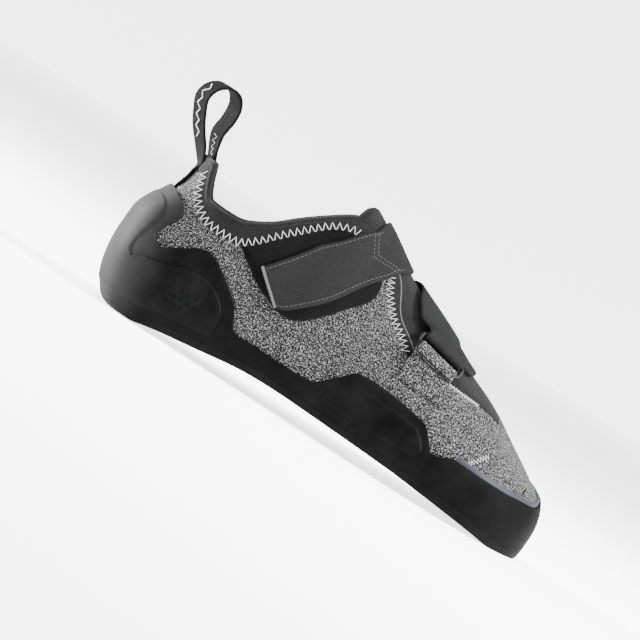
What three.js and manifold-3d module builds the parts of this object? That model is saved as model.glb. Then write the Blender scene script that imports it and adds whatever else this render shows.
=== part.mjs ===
// A right climbing shoe with a hook-and-loop strap: toe towards +X, outer side towards -Y, floor at Z = 0.
// Every piece is cut from shells that run at a set depth under one surface, the outside of the rubbered last.
import * as THREE from 'three';
import { mergeVertices } from 'three/addons/utils/BufferGeometryUtils.js';
import Module from 'manifold-3d';

const wasm = await Module();
wasm.setup();

// Main sizes of the shoe, in millimetres.
const shoe_length = 271.5;
const ball_width = 95;
const heel_width = 65;
const instep_height = 100;
const heel_overhang = 24;
const arch_lift = 10.1;
const heel_tuck = 11.5;

// Thicknesses, as depths are counted inwards from the outer face of the rubber.
const gap = 0.3;
const rubber = 2;
const wall = 2;
const sole = 4.5;
const insole_thickness = 2;
const pad_rise = 1;
const strap_thickness = 1.8;

// Strap hardware and the pull loop.
const strap_width = 25;
const wire = 2.4;
const ring_pitch = 8.5;
const ring_play = 1.6;
const loop_width = 12;
const loop_thickness = 1.6;

// Stations from the back of the heel to the tip of the toe. The x columns are percent of the shoe's length,
// out and into are half widths as shares of the row's own width, heights are shares of the instep height.
// foot is the edge of the tread, belly the widest line of the wall, top the ridge or the ankle opening.
const stations = [
  { wide: heel_width, foot_x: 6.3, foot_out: 0, foot_into: 0, belly_x: 0, out: 0, into: 0, belly_z: 0.36,
    top_x: 3.7, top_y: 0, top_half: 0, top_z: 1.25, crown: 1, flank: 1.5 },
  { wide: heel_width, foot_x: 7.4, foot_out: 0.17, foot_into: 0.17, belly_x: 2.6, out: 0.28, into: 0.28,
    belly_z: 0.35, top_x: 5.5, top_y: 0, top_half: 0.15, top_z: 1.25, crown: 1, flank: 1.5 },
  { wide: heel_width, foot_x: 9.6, foot_out: 0.26, foot_into: 0.26, belly_x: 7, out: 0.415, into: 0.415,
    belly_z: 0.33, top_x: 9.9, top_y: 0, top_half: 0.26, top_z: 1.25, crown: 1, flank: 1.5 },
  { wide: heel_width, foot_x: 14.7, foot_out: 0.32, foot_into: 0.32, belly_x: 13.6, out: 0.49, into: 0.49,
    belly_z: 0.3, top_x: 17.3, top_y: 0, top_half: 0.36, top_z: 1.25, crown: 1, flank: 1.5 },
  { wide: heel_width, foot_x: 23.9, foot_out: 0.37, foot_into: 0.345, belly_x: 23.6, out: 0.5, into: 0.49,
    belly_z: 0.27, top_x: 27.3, top_y: 0, top_half: 0.355, top_z: 1.25, crown: 1.05, flank: 1.5 },
  { wide: heel_width, foot_x: 34.6, foot_out: 0.415, foot_into: 0.325, belly_x: 34.6, out: 0.515, into: 0.475,
    belly_z: 0.26, top_x: 37.2, top_y: 0, top_half: 0.2, top_z: 1.24, crown: 1.3, flank: 1.5 },
  { wide: ball_width, foot_x: 45.7, foot_out: 0.337, foot_into: 0.242, belly_x: 45.7, out: 0.39, into: 0.34,
    belly_z: 0.25, top_x: 45.3, top_y: 0, top_half: 0, top_z: 1.138, crown: 1.8, flank: 1.5 },
  { wide: ball_width, foot_x: 56.7, foot_out: 0.4, foot_into: 0.316, belly_x: 56.7, out: 0.442, into: 0.39,
    belly_z: 0.25, top_x: 54.1, top_y: 0.01, top_half: 0, top_z: 0.988, crown: 1.8, flank: 1.5 },
  { wide: ball_width, foot_x: 67.8, foot_out: 0.453, foot_into: 0.426, belly_x: 67.8, out: 0.479, into: 0.474,
    belly_z: 0.24, top_x: 63.4, top_y: 0.03, top_half: 0, top_z: 0.865, crown: 1.85, flank: 1.55 },
  { wide: ball_width, foot_x: 77, foot_out: 0.453, foot_into: 0.495, belly_x: 77, out: 0.474, into: 0.526,
    belly_z: 0.22, top_x: 71.8, top_y: 0.06, top_half: 0, top_z: 0.75, crown: 1.9, flank: 1.65 },
  { wide: ball_width, foot_x: 85.1, foot_out: 0.395, foot_into: 0.505, belly_x: 85.1, out: 0.411, into: 0.532,
    belly_z: 0.2, top_x: 79.6, top_y: 0.09, top_half: 0, top_z: 0.655, crown: 2, flank: 1.75 },
  { wide: ball_width, foot_x: 91.5, foot_out: 0.279, foot_into: 0.463, belly_x: 91.7, out: 0.295, into: 0.484,
    belly_z: 0.18, top_x: 85.8, top_y: 0.115, top_half: 0, top_z: 0.55, crown: 2, flank: 1.85 },
  { wide: ball_width, foot_x: 96.1, foot_out: 0.135, foot_into: 0.363, belly_x: 96.5, out: 0.147, into: 0.379,
    belly_z: 0.16, top_x: 90.2, top_y: 0.125, top_half: 0, top_z: 0.472, crown: 2, flank: 2 },
  { wide: ball_width, foot_x: 98.5, foot_out: 0, foot_into: 0.258, belly_x: 99.1, out: 0, into: 0.263,
    belly_z: 0.15, top_x: 92.1, top_y: 0.13, top_half: 0, top_z: 0.432, crown: 2, flank: 2 },
  { wide: ball_width, foot_x: 99.3, foot_out: -0.137, foot_into: 0.137, belly_x: 100, out: -0.137, into: 0.137,
    belly_z: 0.15, top_x: 92.8, top_y: 0.137, top_half: 0, top_z: 0.417, crown: 2, flank: 2 },
];

// The tread line seen from the side: percent of the length, and height as a share of the arch lift.
const tread = [
  { at: 0, z: 0 },
  { at: 6, z: 0 },
  { at: 11.4, z: 0 },
  { at: 14.4, z: 0.16 },
  { at: 18, z: 0.33 },
  { at: 25.4, z: 0.6 },
  { at: 32.8, z: 0.88 },
  { at: 37, z: 0.97 },
  { at: 42, z: 1 },
  { at: 51.2, z: 0.94 },
  { at: 62.2, z: 0.84 },
  { at: 69.6, z: 0.74 },
  { at: 77, z: 0.56 },
  { at: 84.3, z: 0.34 },
  { at: 88, z: 0.2 },
  { at: 91.3, z: 0.05 },
  { at: 92.8, z: 0 },
  { at: 100, z: 0 },
];

// Edge lines seen from the side: x in percent of the length, z in percent of the instep height.
const collar_top = [[6.6, 87], [7.7, 85], [9.6, 79], [11.6, 75], [13.3, 74], [16.2, 73.3], [19.2, 73.5],
  [21.7, 76], [25.4, 82], [29.1, 90.5], [32.8, 98.5], [36.5, 106], [37.9, 109]];
const collar_seam = [[6.6, 76], [8.8, 75], [10.3, 71.5], [12.2, 67.5], [14.4, 65], [16.9, 64.5], [19.9, 64.5],
  [21.7, 65.5], [23.6, 69], [25.4, 73.5], [27.3, 79], [30.9, 88.5], [34.6, 97.5], [37.9, 102], [40, 102.5]];
const throat_seam = [[40, 102.5], [43.1, 101.5], [46.8, 98.5], [49.7, 93], [50.8, 86], [52.3, 80.5],
  [54.1, 75], [56.7, 70.5], [59.3, 64], [65, 62.5], [71.5, 62], [80.7, 60], [84, 54.5]];
const throat_tape_top = [[41, 107.5], [45, 105.5], [49.5, 99.5], [51.6, 94], [53, 88], [54.1, 82],
  [55.6, 77], [58.5, 71.5], [60.5, 67.5]];
const tongue_top = [[38.4, 109], [39, 113], [40.1, 118.5], [41.6, 119.5], [42.7, 117.5]];
const heel_edge = [[7, 68], [8.5, 65.5], [9.4, 62], [8.8, 57], [7.2, 49], [7, 46], [7.4, 43.5], [8.5, 41.5],
  [9.9, 42], [11.8, 44.5], [14.4, 49.5], [16.2, 52.3], [18, 52.8], [19.9, 50.5], [23.6, 44], [27.3, 36],
  [28.5, 28], [29.6, 25], [30.6, 24]];
const heel_shell_edge = [[6.2, 55], [5.6, 50], [4.8, 42], [4.4, 35], [5, 30.5], [6.5, 29.2], [8.8, 31],
  [12.5, 36], [15.1, 39], [19.9, 40], [23.6, 35], [25.8, 29], [26.2, 21]];
const side_pad = [[47.4, 25], [49.4, 30], [51.2, 35], [52.7, 39], [54.1, 41.5], [56.7, 42.3], [62.2, 41.5],
  [65.2, 40.5], [67.8, 39], [69.6, 38.5], [71.8, 32], [73.3, 27]];
const toe_edge = [[73.3, 26.5], [76.2, 28.5], [77.5, 30.8], [84.3, 30], [89.9, 29.5], [94, 29.8]];
const patch = [[22.1, 64], [29.1, 51], [32.4, 48], [34.3, 45.5], [37.9, 45.5], [40.1, 50], [42, 54.5],
  [43.8, 60], [45.7, 66.5], [47.5, 72], [49.1, 79], [48.6, 88], [46.2, 94.5], [42.8, 97.8], [40, 98.5],
  [37.9, 98], [35.8, 94.6], [32.4, 85.5], [28.7, 75.5], [26.4, 69]];

// Smooth curve through the rows of a table: each span bends to the slopes of its neighbours. A column with
// flat ends runs level into its first and last row, so that both sides of the last meet without a crease.
function smooth(rows, key, column, at, flat_ends = false) {
  let i = 0;
  while (i < rows.length - 2 && at > rows[i + 1][key]) i += 1;
  const slope = (k) => {
    if (flat_ends && (k === 0 || k === rows.length - 1)) return 0;
    const a = rows[Math.max(k - 1, 0)];
    const b = rows[Math.min(k + 1, rows.length - 1)];
    return (b[column] - a[column]) / (b[key] - a[key]);
  };
  const low = rows[i];
  const high = rows[i + 1];
  const span = high[key] - low[key];
  const t = Math.min(Math.max((at - low[key]) / span, 0), 1);
  const rise = high[column] - low[column];
  const bend = t * (1 - t);
  const ease = t * t * (3 - 2 * t);
  return low[column] + rise * ease + span * bend * (slope(i) * (1 - t) - slope(i + 1) * t);
}

const x_of = (percent) => (percent / 100) * shoe_length - heel_overhang;
const percent_of = (x) => (100 * (x + heel_overhang)) / shoe_length;
const z_of = (percent) => (percent / 100) * instep_height;
const step = (t) => {
  const c = Math.min(Math.max(t, 0), 1);
  return c * c * (3 - 2 * c);
};

// The tread stays level between the two flats, so only rows that change height are curved.
function tread_height(x) {
  const at = Math.min(Math.max(percent_of(x), 0), 100);
  const level = at <= tread[2].at || at >= tread[tread.length - 2].at;
  return level ? 0 : arch_lift * Math.max(smooth(tread, 'at', 'z', at), 0);
}

stations.forEach((row, i) => {
  row.s = i / (stations.length - 1);
});
const column_names = ['wide', 'foot_x', 'foot_out', 'foot_into', 'belly_x', 'out', 'into', 'belly_z', 'top_x',
  'top_y', 'top_half', 'top_z', 'crown', 'flank'];
const half_widths = ['foot_out', 'foot_into', 'out', 'into'];

// One rib of the last: q runs once round the shoe, 0 at the heel, a half at the toe, outer side first.
const belly_share = 0.28;
function surface(q, v) {
  if (v > 1) return surface(1 - q, 2 - v);
  const round = q - Math.floor(q);
  const outer = round <= 0.5;
  const s = outer ? 2 * round : 2 * (1 - round);
  const row = {};
  for (const name of column_names) row[name] = smooth(stations, 's', name, s, !half_widths.includes(name));
  const side = outer ? -1 : 1;
  const foot = new THREE.Vector3(x_of(row.foot_x), side * row.wide * (outer ? row.foot_out : row.foot_into));
  foot.z = tread_height(foot.x);
  const belly = new THREE.Vector3(x_of(row.belly_x), side * row.wide * (outer ? row.out : row.into));
  belly.z = instep_height * row.belly_z;
  const half = Math.max(row.top_half, 0);
  const top = new THREE.Vector3(x_of(row.top_x), row.wide * (row.top_y + side * half));
  top.z = instep_height * row.top_z;
  let place;
  if (v < belly_share) {
    const turn = ((v / belly_share) * Math.PI) / 2;
    place = foot.clone().lerp(belly, Math.sin(turn));
    place.z = foot.z + (belly.z - foot.z) * (1 - Math.cos(turn));
  } else {
    const turn = (((v - belly_share) / (1 - belly_share)) * Math.PI) / 2;
    const inward = 1 - Math.max(Math.cos(turn), 0) ** (2 / row.crown);
    place = belly.clone().lerp(top, inward);
    place.z = belly.z + (top.z - belly.z) * Math.sin(turn) ** (2 / row.flank);
  }
  const tuck_fade = 1 - step((percent_of(place.x) - 5) / 20);
  place.x += heel_tuck * step((place.z / instep_height - 0.5) / 0.32) * tuck_fade;
  return place;
}

// The same place, moved out along the surface's own normal; over the ridge both sides share one normal.
// At the ridge's front end the rib and the ridge run one way, so the normal is taken just below it.
const around = 56;
const upwards = 12;
const nudge = 0.004;
function offset_surface(q, v, out) {
  const place = surface(q, v);
  const joined = surface(q, 1).distanceTo(surface(1 - q, 1)) < 0.01;
  const top = joined ? 2 : 1;
  const at = v === 1 && q === 0.5 ? v - 2 * nudge : v;
  const up = surface(q, Math.min(at + nudge, top)).sub(surface(q, Math.max(at - nudge, 0)));
  const along = surface(q + nudge, at).sub(surface(q - nudge, at));
  const normal = along.cross(up);
  if (joined && v === 1) normal.y = 0;
  return place.addScaledVector(normal.normalize(), out);
}

function to_manifold(geometry) {
  const bare = geometry.clone();
  bare.deleteAttribute('normal');
  bare.deleteAttribute('uv');
  const merged = mergeVertices(bare, 1e-4);
  const index = merged.index.array;
  const whole = [];
  for (let i = 0; i < index.length; i += 3) {
    const [a, b, c] = [index[i], index[i + 1], index[i + 2]];
    if (a !== b && b !== c && a !== c) whole.push(a, b, c);
  }
  return new wasm.Manifold(new wasm.Mesh({
    numProp: 3,
    vertProperties: new Float32Array(merged.attributes.position.array),
    triVerts: new Uint32Array(whole),
  }));
}

function to_geometry(manifold) {
  const mesh = manifold.getMesh();
  const geometry = new THREE.BufferGeometry();
  geometry.setAttribute('position', new THREE.BufferAttribute(new Float32Array(mesh.vertProperties), 3));
  geometry.setIndex(new THREE.BufferAttribute(new Uint32Array(mesh.triVerts), 1));
  geometry.computeVertexNormals();
  return geometry;
}

// A closed body of the whole last at one offset: rings from the tread edge to the ridge, with two lids.
const forms = new Map();
function form(out) {
  if (forms.has(out)) return forms.get(out);
  const positions = [];
  const index = [];
  for (let j = 0; j <= upwards; j += 1) {
    for (let i = 0; i < around; i += 1) positions.push(...offset_surface(i / around, j / upwards, out));
  }
  const at = (i, j) => j * around + ((i + around) % around);
  for (let j = 0; j < upwards; j += 1) {
    for (let i = 0; i < around; i += 1) {
      index.push(at(i, j), at(i + 1, j), at(i + 1, j + 1), at(i, j), at(i + 1, j + 1), at(i, j + 1));
    }
  }
  for (let i = 0; i < around / 2; i += 1) {
    const [a, b, c, d] = [i, i + 1, around - i - 1, around - i];
    index.push(at(a, 0), at(c, 0), at(b, 0), at(a, 0), at(d, 0), at(c, 0));
    index.push(at(a, upwards), at(b, upwards), at(c, upwards), at(a, upwards), at(c, upwards), at(d, upwards));
  }
  const geometry = new THREE.BufferGeometry();
  geometry.setAttribute('position', new THREE.BufferAttribute(new Float32Array(positions), 3));
  geometry.setIndex(index);
  const body = to_manifold(geometry);
  forms.set(out, body);
  return body;
}

const shell = (deep, proud) => form(proud).subtract(form(deep));

// A cutter: an outline drawn in the side view, pushed through the shoe between two values of y.
const far = 90;
function side_cutter(points, from = -far, to = far) {
  const outline = new THREE.Shape(points.map(([x, z]) => new THREE.Vector2(x, z)));
  const body = new THREE.ExtrudeGeometry(outline, { depth: to - from, bevelEnabled: false });
  body.rotateX(Math.PI / 2);
  body.translate(0, to, 0);
  return to_manifold(body);
}

const sized = (line) => line.map(([x, z]) => [x_of(x), z_of(z)]);

// Moves a line sideways in the side view, to the left of its own direction when the distance is positive.
function shifted(line, distance) {
  return line.map((point, i) => {
    const before = line[Math.max(i - 1, 0)];
    const after = line[Math.min(i + 1, line.length - 1)];
    const run = new THREE.Vector2(after[0] - before[0], after[1] - before[1]).normalize();
    return [point[0] - run.y * distance, point[1] + run.x * distance];
  });
}

// The top face of the outsole, lifted by some clearance, from behind the heel to past the toe.
const sole_steps = 22;
const behind = -6;
const past_toe = 106;
function sole_line(lift) {
  const line = [];
  for (let i = 0; i <= sole_steps; i += 1) {
    const x = x_of(behind + ((past_toe - behind) * i) / sole_steps);
    line.push([x, tread_height(x) + sole + lift]);
  }
  return line;
}
const deep_floor = -40;
const sky = 1.6 * instep_height;
function below_sole_line(lift) {
  return side_cutter([[x_of(behind), deep_floor], [x_of(past_toe), deep_floor], ...sole_line(lift).reverse()]);
}
const outermost = 4;
const above_sole = form(outermost).subtract(below_sole_line(gap));

const group = new THREE.Group();
function add(name, body, color, roughness, metalness = 0) {
  const material = new THREE.MeshStandardMaterial({ color, roughness, metalness });
  const mesh = new THREE.Mesh(to_geometry(body), material);
  mesh.name = name;
  group.add(mesh);
}

const black_rubber = 0x1c1c1d;
const grey_knit = 0x84868a;
const dark_knit = 0x3a3b3f;
const webbing = 0x2c2d31;
const fleece = 0x141416;

const lining = rubber + gap + wall;

// Outsole: everything of the rubbered last that lies under the sole line.
add('outsole', form(0).intersect(below_sole_line(0)), black_rubber, 0.75);

// Insole: a thin sheet on the outsole, inside the lining.
const insole_slab = below_sole_line(gap + insole_thickness).subtract(below_sole_line(gap));
add('insole', form(-lining - gap).intersect(insole_slab), grey_knit, 0.9);

// Upper: one wall, open at the collar and the throat and over the outsole.
const opening = side_cutter([
  [x_of(behind), z_of(76)],
  ...sized(collar_seam),
  ...sized(throat_seam).slice(1),
  [x_of(84), sky],
  [x_of(behind), sky],
]);
const upper_shell = shell(-lining, -rubber - gap);
add('upper', upper_shell.intersect(above_sole).subtract(opening), grey_knit, 0.95);

// Collar binding: the stretch tape on the edge of the collar, down the throat as well.
const collar_band = side_cutter([
  ...shifted(sized(collar_seam), gap),
  [x_of(40), z_of(107.2)],
  ...sized(collar_top).reverse(),
]);
const throat_band = [
  [x_of(40) + gap, z_of(102.5)],
  ...shifted(sized(throat_seam).slice(1, 9), gap),
  ...sized(throat_tape_top).reverse(),
];
const binding_shell = shell(-lining, -rubber);
add('collar_binding', binding_shell.intersect(collar_band), dark_knit, 0.9);
for (const [name, from, to] of [['outer', -far, 0], ['inner', 0, far]]) {
  add(`throat_tape_${name}`, binding_shell.intersect(side_cutter(throat_band, from, to)), dark_knit, 0.9);
}

// Tongue and the stretch insert in front of it: one sheet that fills the throat.
const tongue_area = side_cutter([
  ...sized(tongue_top),
  [x_of(50), sky],
  [x_of(84) - gap, sky],
  [x_of(84) - gap, z_of(54.5) + 2 * gap],
  ...shifted(sized(throat_seam).slice(9, -1), gap).reverse(),
  [x_of(59.3) + 3 * gap, z_of(64) + gap],
  ...shifted(sized(throat_tape_top), gap).reverse(),
]);
add('tongue', upper_shell.intersect(tongue_area), dark_knit, 0.95);

// Heel cup: the rubber over the heel, with its tab up the back. Its flat front edge meets the arch bands.
const rubber_shell = shell(-rubber, 0).intersect(above_sole);
const seams = { arch: x_of(30.6), ball: x_of(47.4), toe: x_of(73.3) };
const rubber_low = z_of(-10);
const heel_area = side_cutter([
  [x_of(behind), rubber_low],
  [seams.arch, rubber_low],
  ...sized(heel_edge).reverse(),
  [x_of(5.5), z_of(69)],
  [x_of(3.7), z_of(71)],
  [x_of(behind), z_of(71)],
]);
add('heel_cup', rubber_shell.intersect(heel_area), black_rubber, 0.75);

// Heel shell: a second layer on the cup, narrow up the back and wide as a pad on both sides.
const shell_area = side_cutter([
  [x_of(behind), z_of(9)],
  [x_of(26.2), z_of(17)],
  ...sized(heel_shell_edge).reverse(),
  [x_of(5.2), z_of(60)],
  [x_of(4.4), z_of(64)],
  [x_of(behind), z_of(64)],
]);
add('heel_shell', shell(gap, gap + pad_rise).intersect(shell_area), black_rubber, 0.7);

// Arch bands and forefoot side pads, one on each side.
const arch_top = z_of(23.8);
const arch_area = [
  [seams.arch + gap, rubber_low],
  [seams.ball - gap, rubber_low],
  [seams.ball - gap, arch_top],
  [seams.arch + gap, arch_top],
];
const pad_area = [[seams.ball, rubber_low], [seams.toe - gap, rubber_low], ...sized(side_pad).reverse()];
pad_area[2][0] -= gap;
for (const [name, from, to] of [['outer', -far, 0], ['inner', 0, far]]) {
  add(`arch_band_${name}`, rubber_shell.intersect(side_cutter(arch_area, from, to)), black_rubber, 0.75);
  add(`side_pad_${name}`, rubber_shell.intersect(side_cutter(pad_area, from, to)), black_rubber, 0.7);
}

// Toe rand: its upper edge climbs from the outer side over the toe to the big toe's side.
const toe_rise = 0.08;
const climb = { from_y: -0.1 * ball_width, to_y: 0.3 * ball_width, from_x: 76, span: 17 };
const rand_slices = 12;
function toe_cutter() {
  const front = x_of(past_toe);
  const line = [[seams.toe, rubber_low], [front, rubber_low], [front, z_of(29.8)]];
  const outline = new THREE.Shape([...line, ...sized(toe_edge).reverse()].map(([x, z]) => new THREE.Vector2(x, z)));
  const settings = { depth: 2 * far, steps: rand_slices * 4, bevelEnabled: false };
  const body = new THREE.ExtrudeGeometry(outline, settings);
  body.rotateX(Math.PI / 2);
  body.translate(0, far, 0);
  const place = body.attributes.position;
  for (let i = 0; i < place.count; i += 1) {
    if (place.getZ(i) < z_of(20)) continue;
    const across = step((place.getY(i) - climb.from_y) / (climb.to_y - climb.from_y));
    const forward = Math.min(Math.max((percent_of(place.getX(i)) - climb.from_x) / climb.span, 0), 1);
    place.setZ(i, place.getZ(i) + toe_rise * instep_height * across * forward);
  }
  return to_manifold(body);
}
add('toe_rand', rubber_shell.intersect(toe_cutter()), black_rubber, 0.75);

// Loop patch on the outer side, under the end of the strap.
const fleece_depth = 0.8;
const patch_shell = shell(-rubber, -rubber + fleece_depth);
add('loop_patch', patch_shell.intersect(side_cutter(sized(patch), -far, 0)), fleece, 1);

// Finds the rib and height of a place on one side of the last from where the side view shows it.
function on_side(x, z, side) {
  const rib_at = (v) => {
    let [near, away] = [0, 0.5];
    for (let i = 0; i < 40; i += 1) {
      const mid = (near + away) / 2;
      if (surface(side < 0 ? mid : 1 - mid, v).x < x) near = mid;
      else away = mid;
    }
    return side < 0 ? near : 1 - near;
  };
  let [low, high] = [0, 1];
  for (let i = 0; i < 40; i += 1) {
    const mid = (low + high) / 2;
    if (surface(rib_at(mid), mid).z < z) low = mid;
    else high = mid;
  }
  return { q: rib_at(low), v: low };
}

// A ring's own axes on the last: along its bars, across them, and out from the foot.
function seat(middle, bar_turn, side, out) {
  const { q, v } = on_side(x_of(middle[0]), z_of(middle[1]), side);
  const place = offset_surface(q, v, out);
  const outwards = offset_surface(q, v, out + 1).sub(place).normalize();
  const turn = THREE.MathUtils.degToRad(bar_turn);
  const bar = new THREE.Vector3(Math.cos(turn), 0, Math.sin(turn));
  bar.addScaledVector(outwards, -bar.dot(outwards)).normalize();
  const across = outwards.clone().cross(bar).multiplyScalar(side < 0 ? -1 : 1);
  if (across.z < 0) across.negate();
  return { place, bar, across, outwards };
}

// Each ring: middle in percent of length and instep height, and the turn of its bars from level.
const ring_lift = 1.3;
const rings = [
  { name: 'outer', side: -1, middle: [65.2, 70.3], turn: -9.5 },
  { name: 'inner', side: 1, middle: [42.7, 68.5], turn: -50 },
];
const corner_steps = 3;
const wire_sides = 8;
function wire_ring(at) {
  const half_bar = strap_width / 2 + ring_play;
  const corner = 2.2;
  const middles = [[1, 1, 0], [-1, 1, 90], [-1, -1, 180], [1, -1, 270]];
  const path = [];
  for (const [a, b, start] of middles) {
    for (let k = 0; k <= corner_steps; k += 1) {
      const turn = THREE.MathUtils.degToRad(start + (90 * k) / corner_steps);
      const along = a * (half_bar - corner) + corner * Math.cos(turn);
      const across = b * (ring_pitch / 2 - corner) + corner * Math.sin(turn);
      path.push([along, across, turn]);
    }
  }
  const positions = [];
  for (const [along, across, turn] of path) {
    for (let k = 0; k < wire_sides; k += 1) {
      const round = (2 * Math.PI * k) / wire_sides;
      const reach = (wire / 2) * Math.cos(round);
      const place = at.place.clone();
      place.addScaledVector(at.bar, along + reach * Math.cos(turn));
      place.addScaledVector(at.across, across + reach * Math.sin(turn));
      place.addScaledVector(at.outwards, (wire / 2) * Math.sin(round));
      positions.push(...place);
    }
  }
  const index = [];
  const n = path.length;
  for (let i = 0; i < n; i += 1) {
    for (let k = 0; k < wire_sides; k += 1) {
      const [a, b] = [i * wire_sides, ((i + 1) % n) * wire_sides];
      const next = (k + 1) % wire_sides;
      index.push(a + k, b + k, b + next, a + k, b + next, a + next);
    }
  }
  return closed_body(positions, index);
}

// Turns a list of corners and faces into a solid, with its faces outwards whichever way it was wound.
function closed_body(positions, index) {
  const geometry = new THREE.BufferGeometry();
  geometry.setAttribute('position', new THREE.BufferAttribute(new Float32Array(positions), 3));
  geometry.setIndex(index);
  const body = to_manifold(geometry);
  if (body.volume() > 0) return body;
  const flipped = [];
  for (let i = 0; i < index.length; i += 3) flipped.push(index[i], index[i + 2], index[i + 1]);
  geometry.setIndex(flipped);
  return to_manifold(geometry);
}

// A round rod along a ring's bar: the fold of webbing around it, or the room that the wire needs.
function rod(at, across, radius, length) {
  const body = new THREE.CylinderGeometry(radius, radius, length, 12);
  const basis = new THREE.Matrix4().makeBasis(at.across, at.bar, at.across.clone().cross(at.bar));
  basis.setPosition(at.place.clone().addScaledVector(at.across, across));
  body.applyMatrix4(basis);
  return to_manifold(body);
}

// Strap: three legs of one webbing. The first leg starts in the inner side of the forefoot, the second runs
// from the outer ring over the instep to the inner ring, the third comes back and ends on the loop patch.
// Each outline follows the leg's edges up to the ridge of the last and closes in the air above it.
const leg_one_inner = [[56.2, 45], [58.6, 62], [61.5, 76], [64.3, 86], [66, 110], [74, 90], [73.2, 71],
  [71.4, 65], [69, 56], [66.2, 42]];
const leg_one_outer = [[60.4, 76.4], [63, 81.3], [64.3, 86], [66, 110], [74, 90], [73.2, 71], [72.5, 70],
  [70, 71.8]];
const leg_two_outer = [[60.4, 76.4], [58.9, 80.2], [57.5, 85.6], [56.3, 91], [55.2, 97], [56, 115],
  [68, 96], [66, 83], [68.8, 75.6], [70, 71.8], [65, 74.5]];
const leg_two_inner = [[55.2, 97], [56, 115], [68, 96], [66, 83], [63, 80], [59.3, 74.5], [54.9, 69],
  [50.5, 65], [46.9, 62.2], [41, 81.3], [44.2, 84.5], [48.3, 89], [52.3, 93.5]];
const leg_three_outer = [[27.4, 61], [33.5, 47], [35.4, 46], [37.2, 51], [40.1, 59], [42, 64], [43.8, 71],
  [45.7, 79], [47.5, 85], [49.4, 91], [50.5, 95.5], [52.2, 98.6], [53.1, 101], [54, 112], [45, 122],
  [43.9, 116], [43, 109.6], [42, 107], [38.3, 96], [36.5, 91], [34.6, 86], [32.8, 79], [30.9, 72], [29.1, 66]];
const leg_three_inner = [[45, 122], [54, 112], [53.1, 101], [52.3, 93.5], [50.6, 84], [48.4, 72],
  [46.9, 62.2], [41, 81.3], [42.2, 92], [43.2, 104], [43.9, 116]];
const strap_split = 0.01 * ball_width;
const strap_shell = shell(-strap_thickness / 2, strap_thickness / 2);

function both_sides(outer, inner) {
  const near = side_cutter(sized(outer), -far, strap_split);
  return near.add(side_cutter(sized(inner), strap_split, far));
}
let strap_area = both_sides(leg_three_outer, leg_three_inner).add(both_sides(leg_two_outer, leg_two_inner));
strap_area = strap_area.add(both_sides(leg_one_outer, leg_one_inner));
let strap = strap_shell.intersect(strap_area);

const fold_cloth = 1.3;
const fold_radius = wire / 2 + gap + fold_cloth;
const wire_room = wire / 2 + gap;
const ring_room = strap_width + 2 * ring_play + 2 * wire + 4 * gap;
const ring_seats = {};
for (const ring of rings) {
  const at = seat(ring.middle, ring.turn, ring.side, ring_lift);
  ring_seats[ring.name] = at;
  const half = ring_pitch / 2;
  strap = strap.subtract(rod(at, half, fold_radius - 0.1, ring_room));
  strap = strap.add(rod(at, half, fold_radius, strap_width).subtract(rod(at, half, wire_room, 2 * strap_width)));
  add(`ring_${ring.name}`, wire_ring(at), 0x1a1a1b, 0.4, 0.3);
}
add('strap', strap.subtract(form(-rubber)), webbing, 0.95);

// Ring tabs: folded knit around the lower bar, sewn down on the upper.
const tab_areas = {
  outer: [[60.7, 67], [70, 63], [70, 52], [60.2, 52]],
  inner: [[38.2, 73], [44.5, 57], [41, 47], [33.5, 64]],
};
const tab_shell = shell(-rubber, -rubber + strap_thickness);
for (const ring of rings) {
  const at = ring_seats[ring.name];
  const half = -ring_pitch / 2;
  const [from, to] = ring.side < 0 ? [-far, 0] : [0, far];
  let tab = tab_shell.intersect(side_cutter(sized(tab_areas[ring.name]), from, to));
  tab = tab.subtract(rod(at, half, fold_radius - 0.1, ring_room));
  tab = tab.add(rod(at, half, fold_radius, strap_width).subtract(rod(at, half, wire_room, 2 * strap_width)));
  tab = tab.subtract(form(-rubber));
  add(`ring_tab_${ring.name}`, tab, grey_knit, 0.95);
}

// Pull loop: a band of tape from behind the heel, turned to the side at its top, and down inside the collar.
function heel_back(z, out) {
  let [low, high] = [belly_share, 1];
  for (let i = 0; i < 30; i += 1) {
    const mid = (low + high) / 2;
    if (offset_surface(0, mid, out).z < z) low = mid;
    else high = mid;
  }
  return offset_surface(0, low, out);
}
const outside = -rubber + 2 * gap + loop_thickness / 2;
const inside = -lining - gap - loop_thickness / 2 - 0.25 * loop_width;
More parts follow.
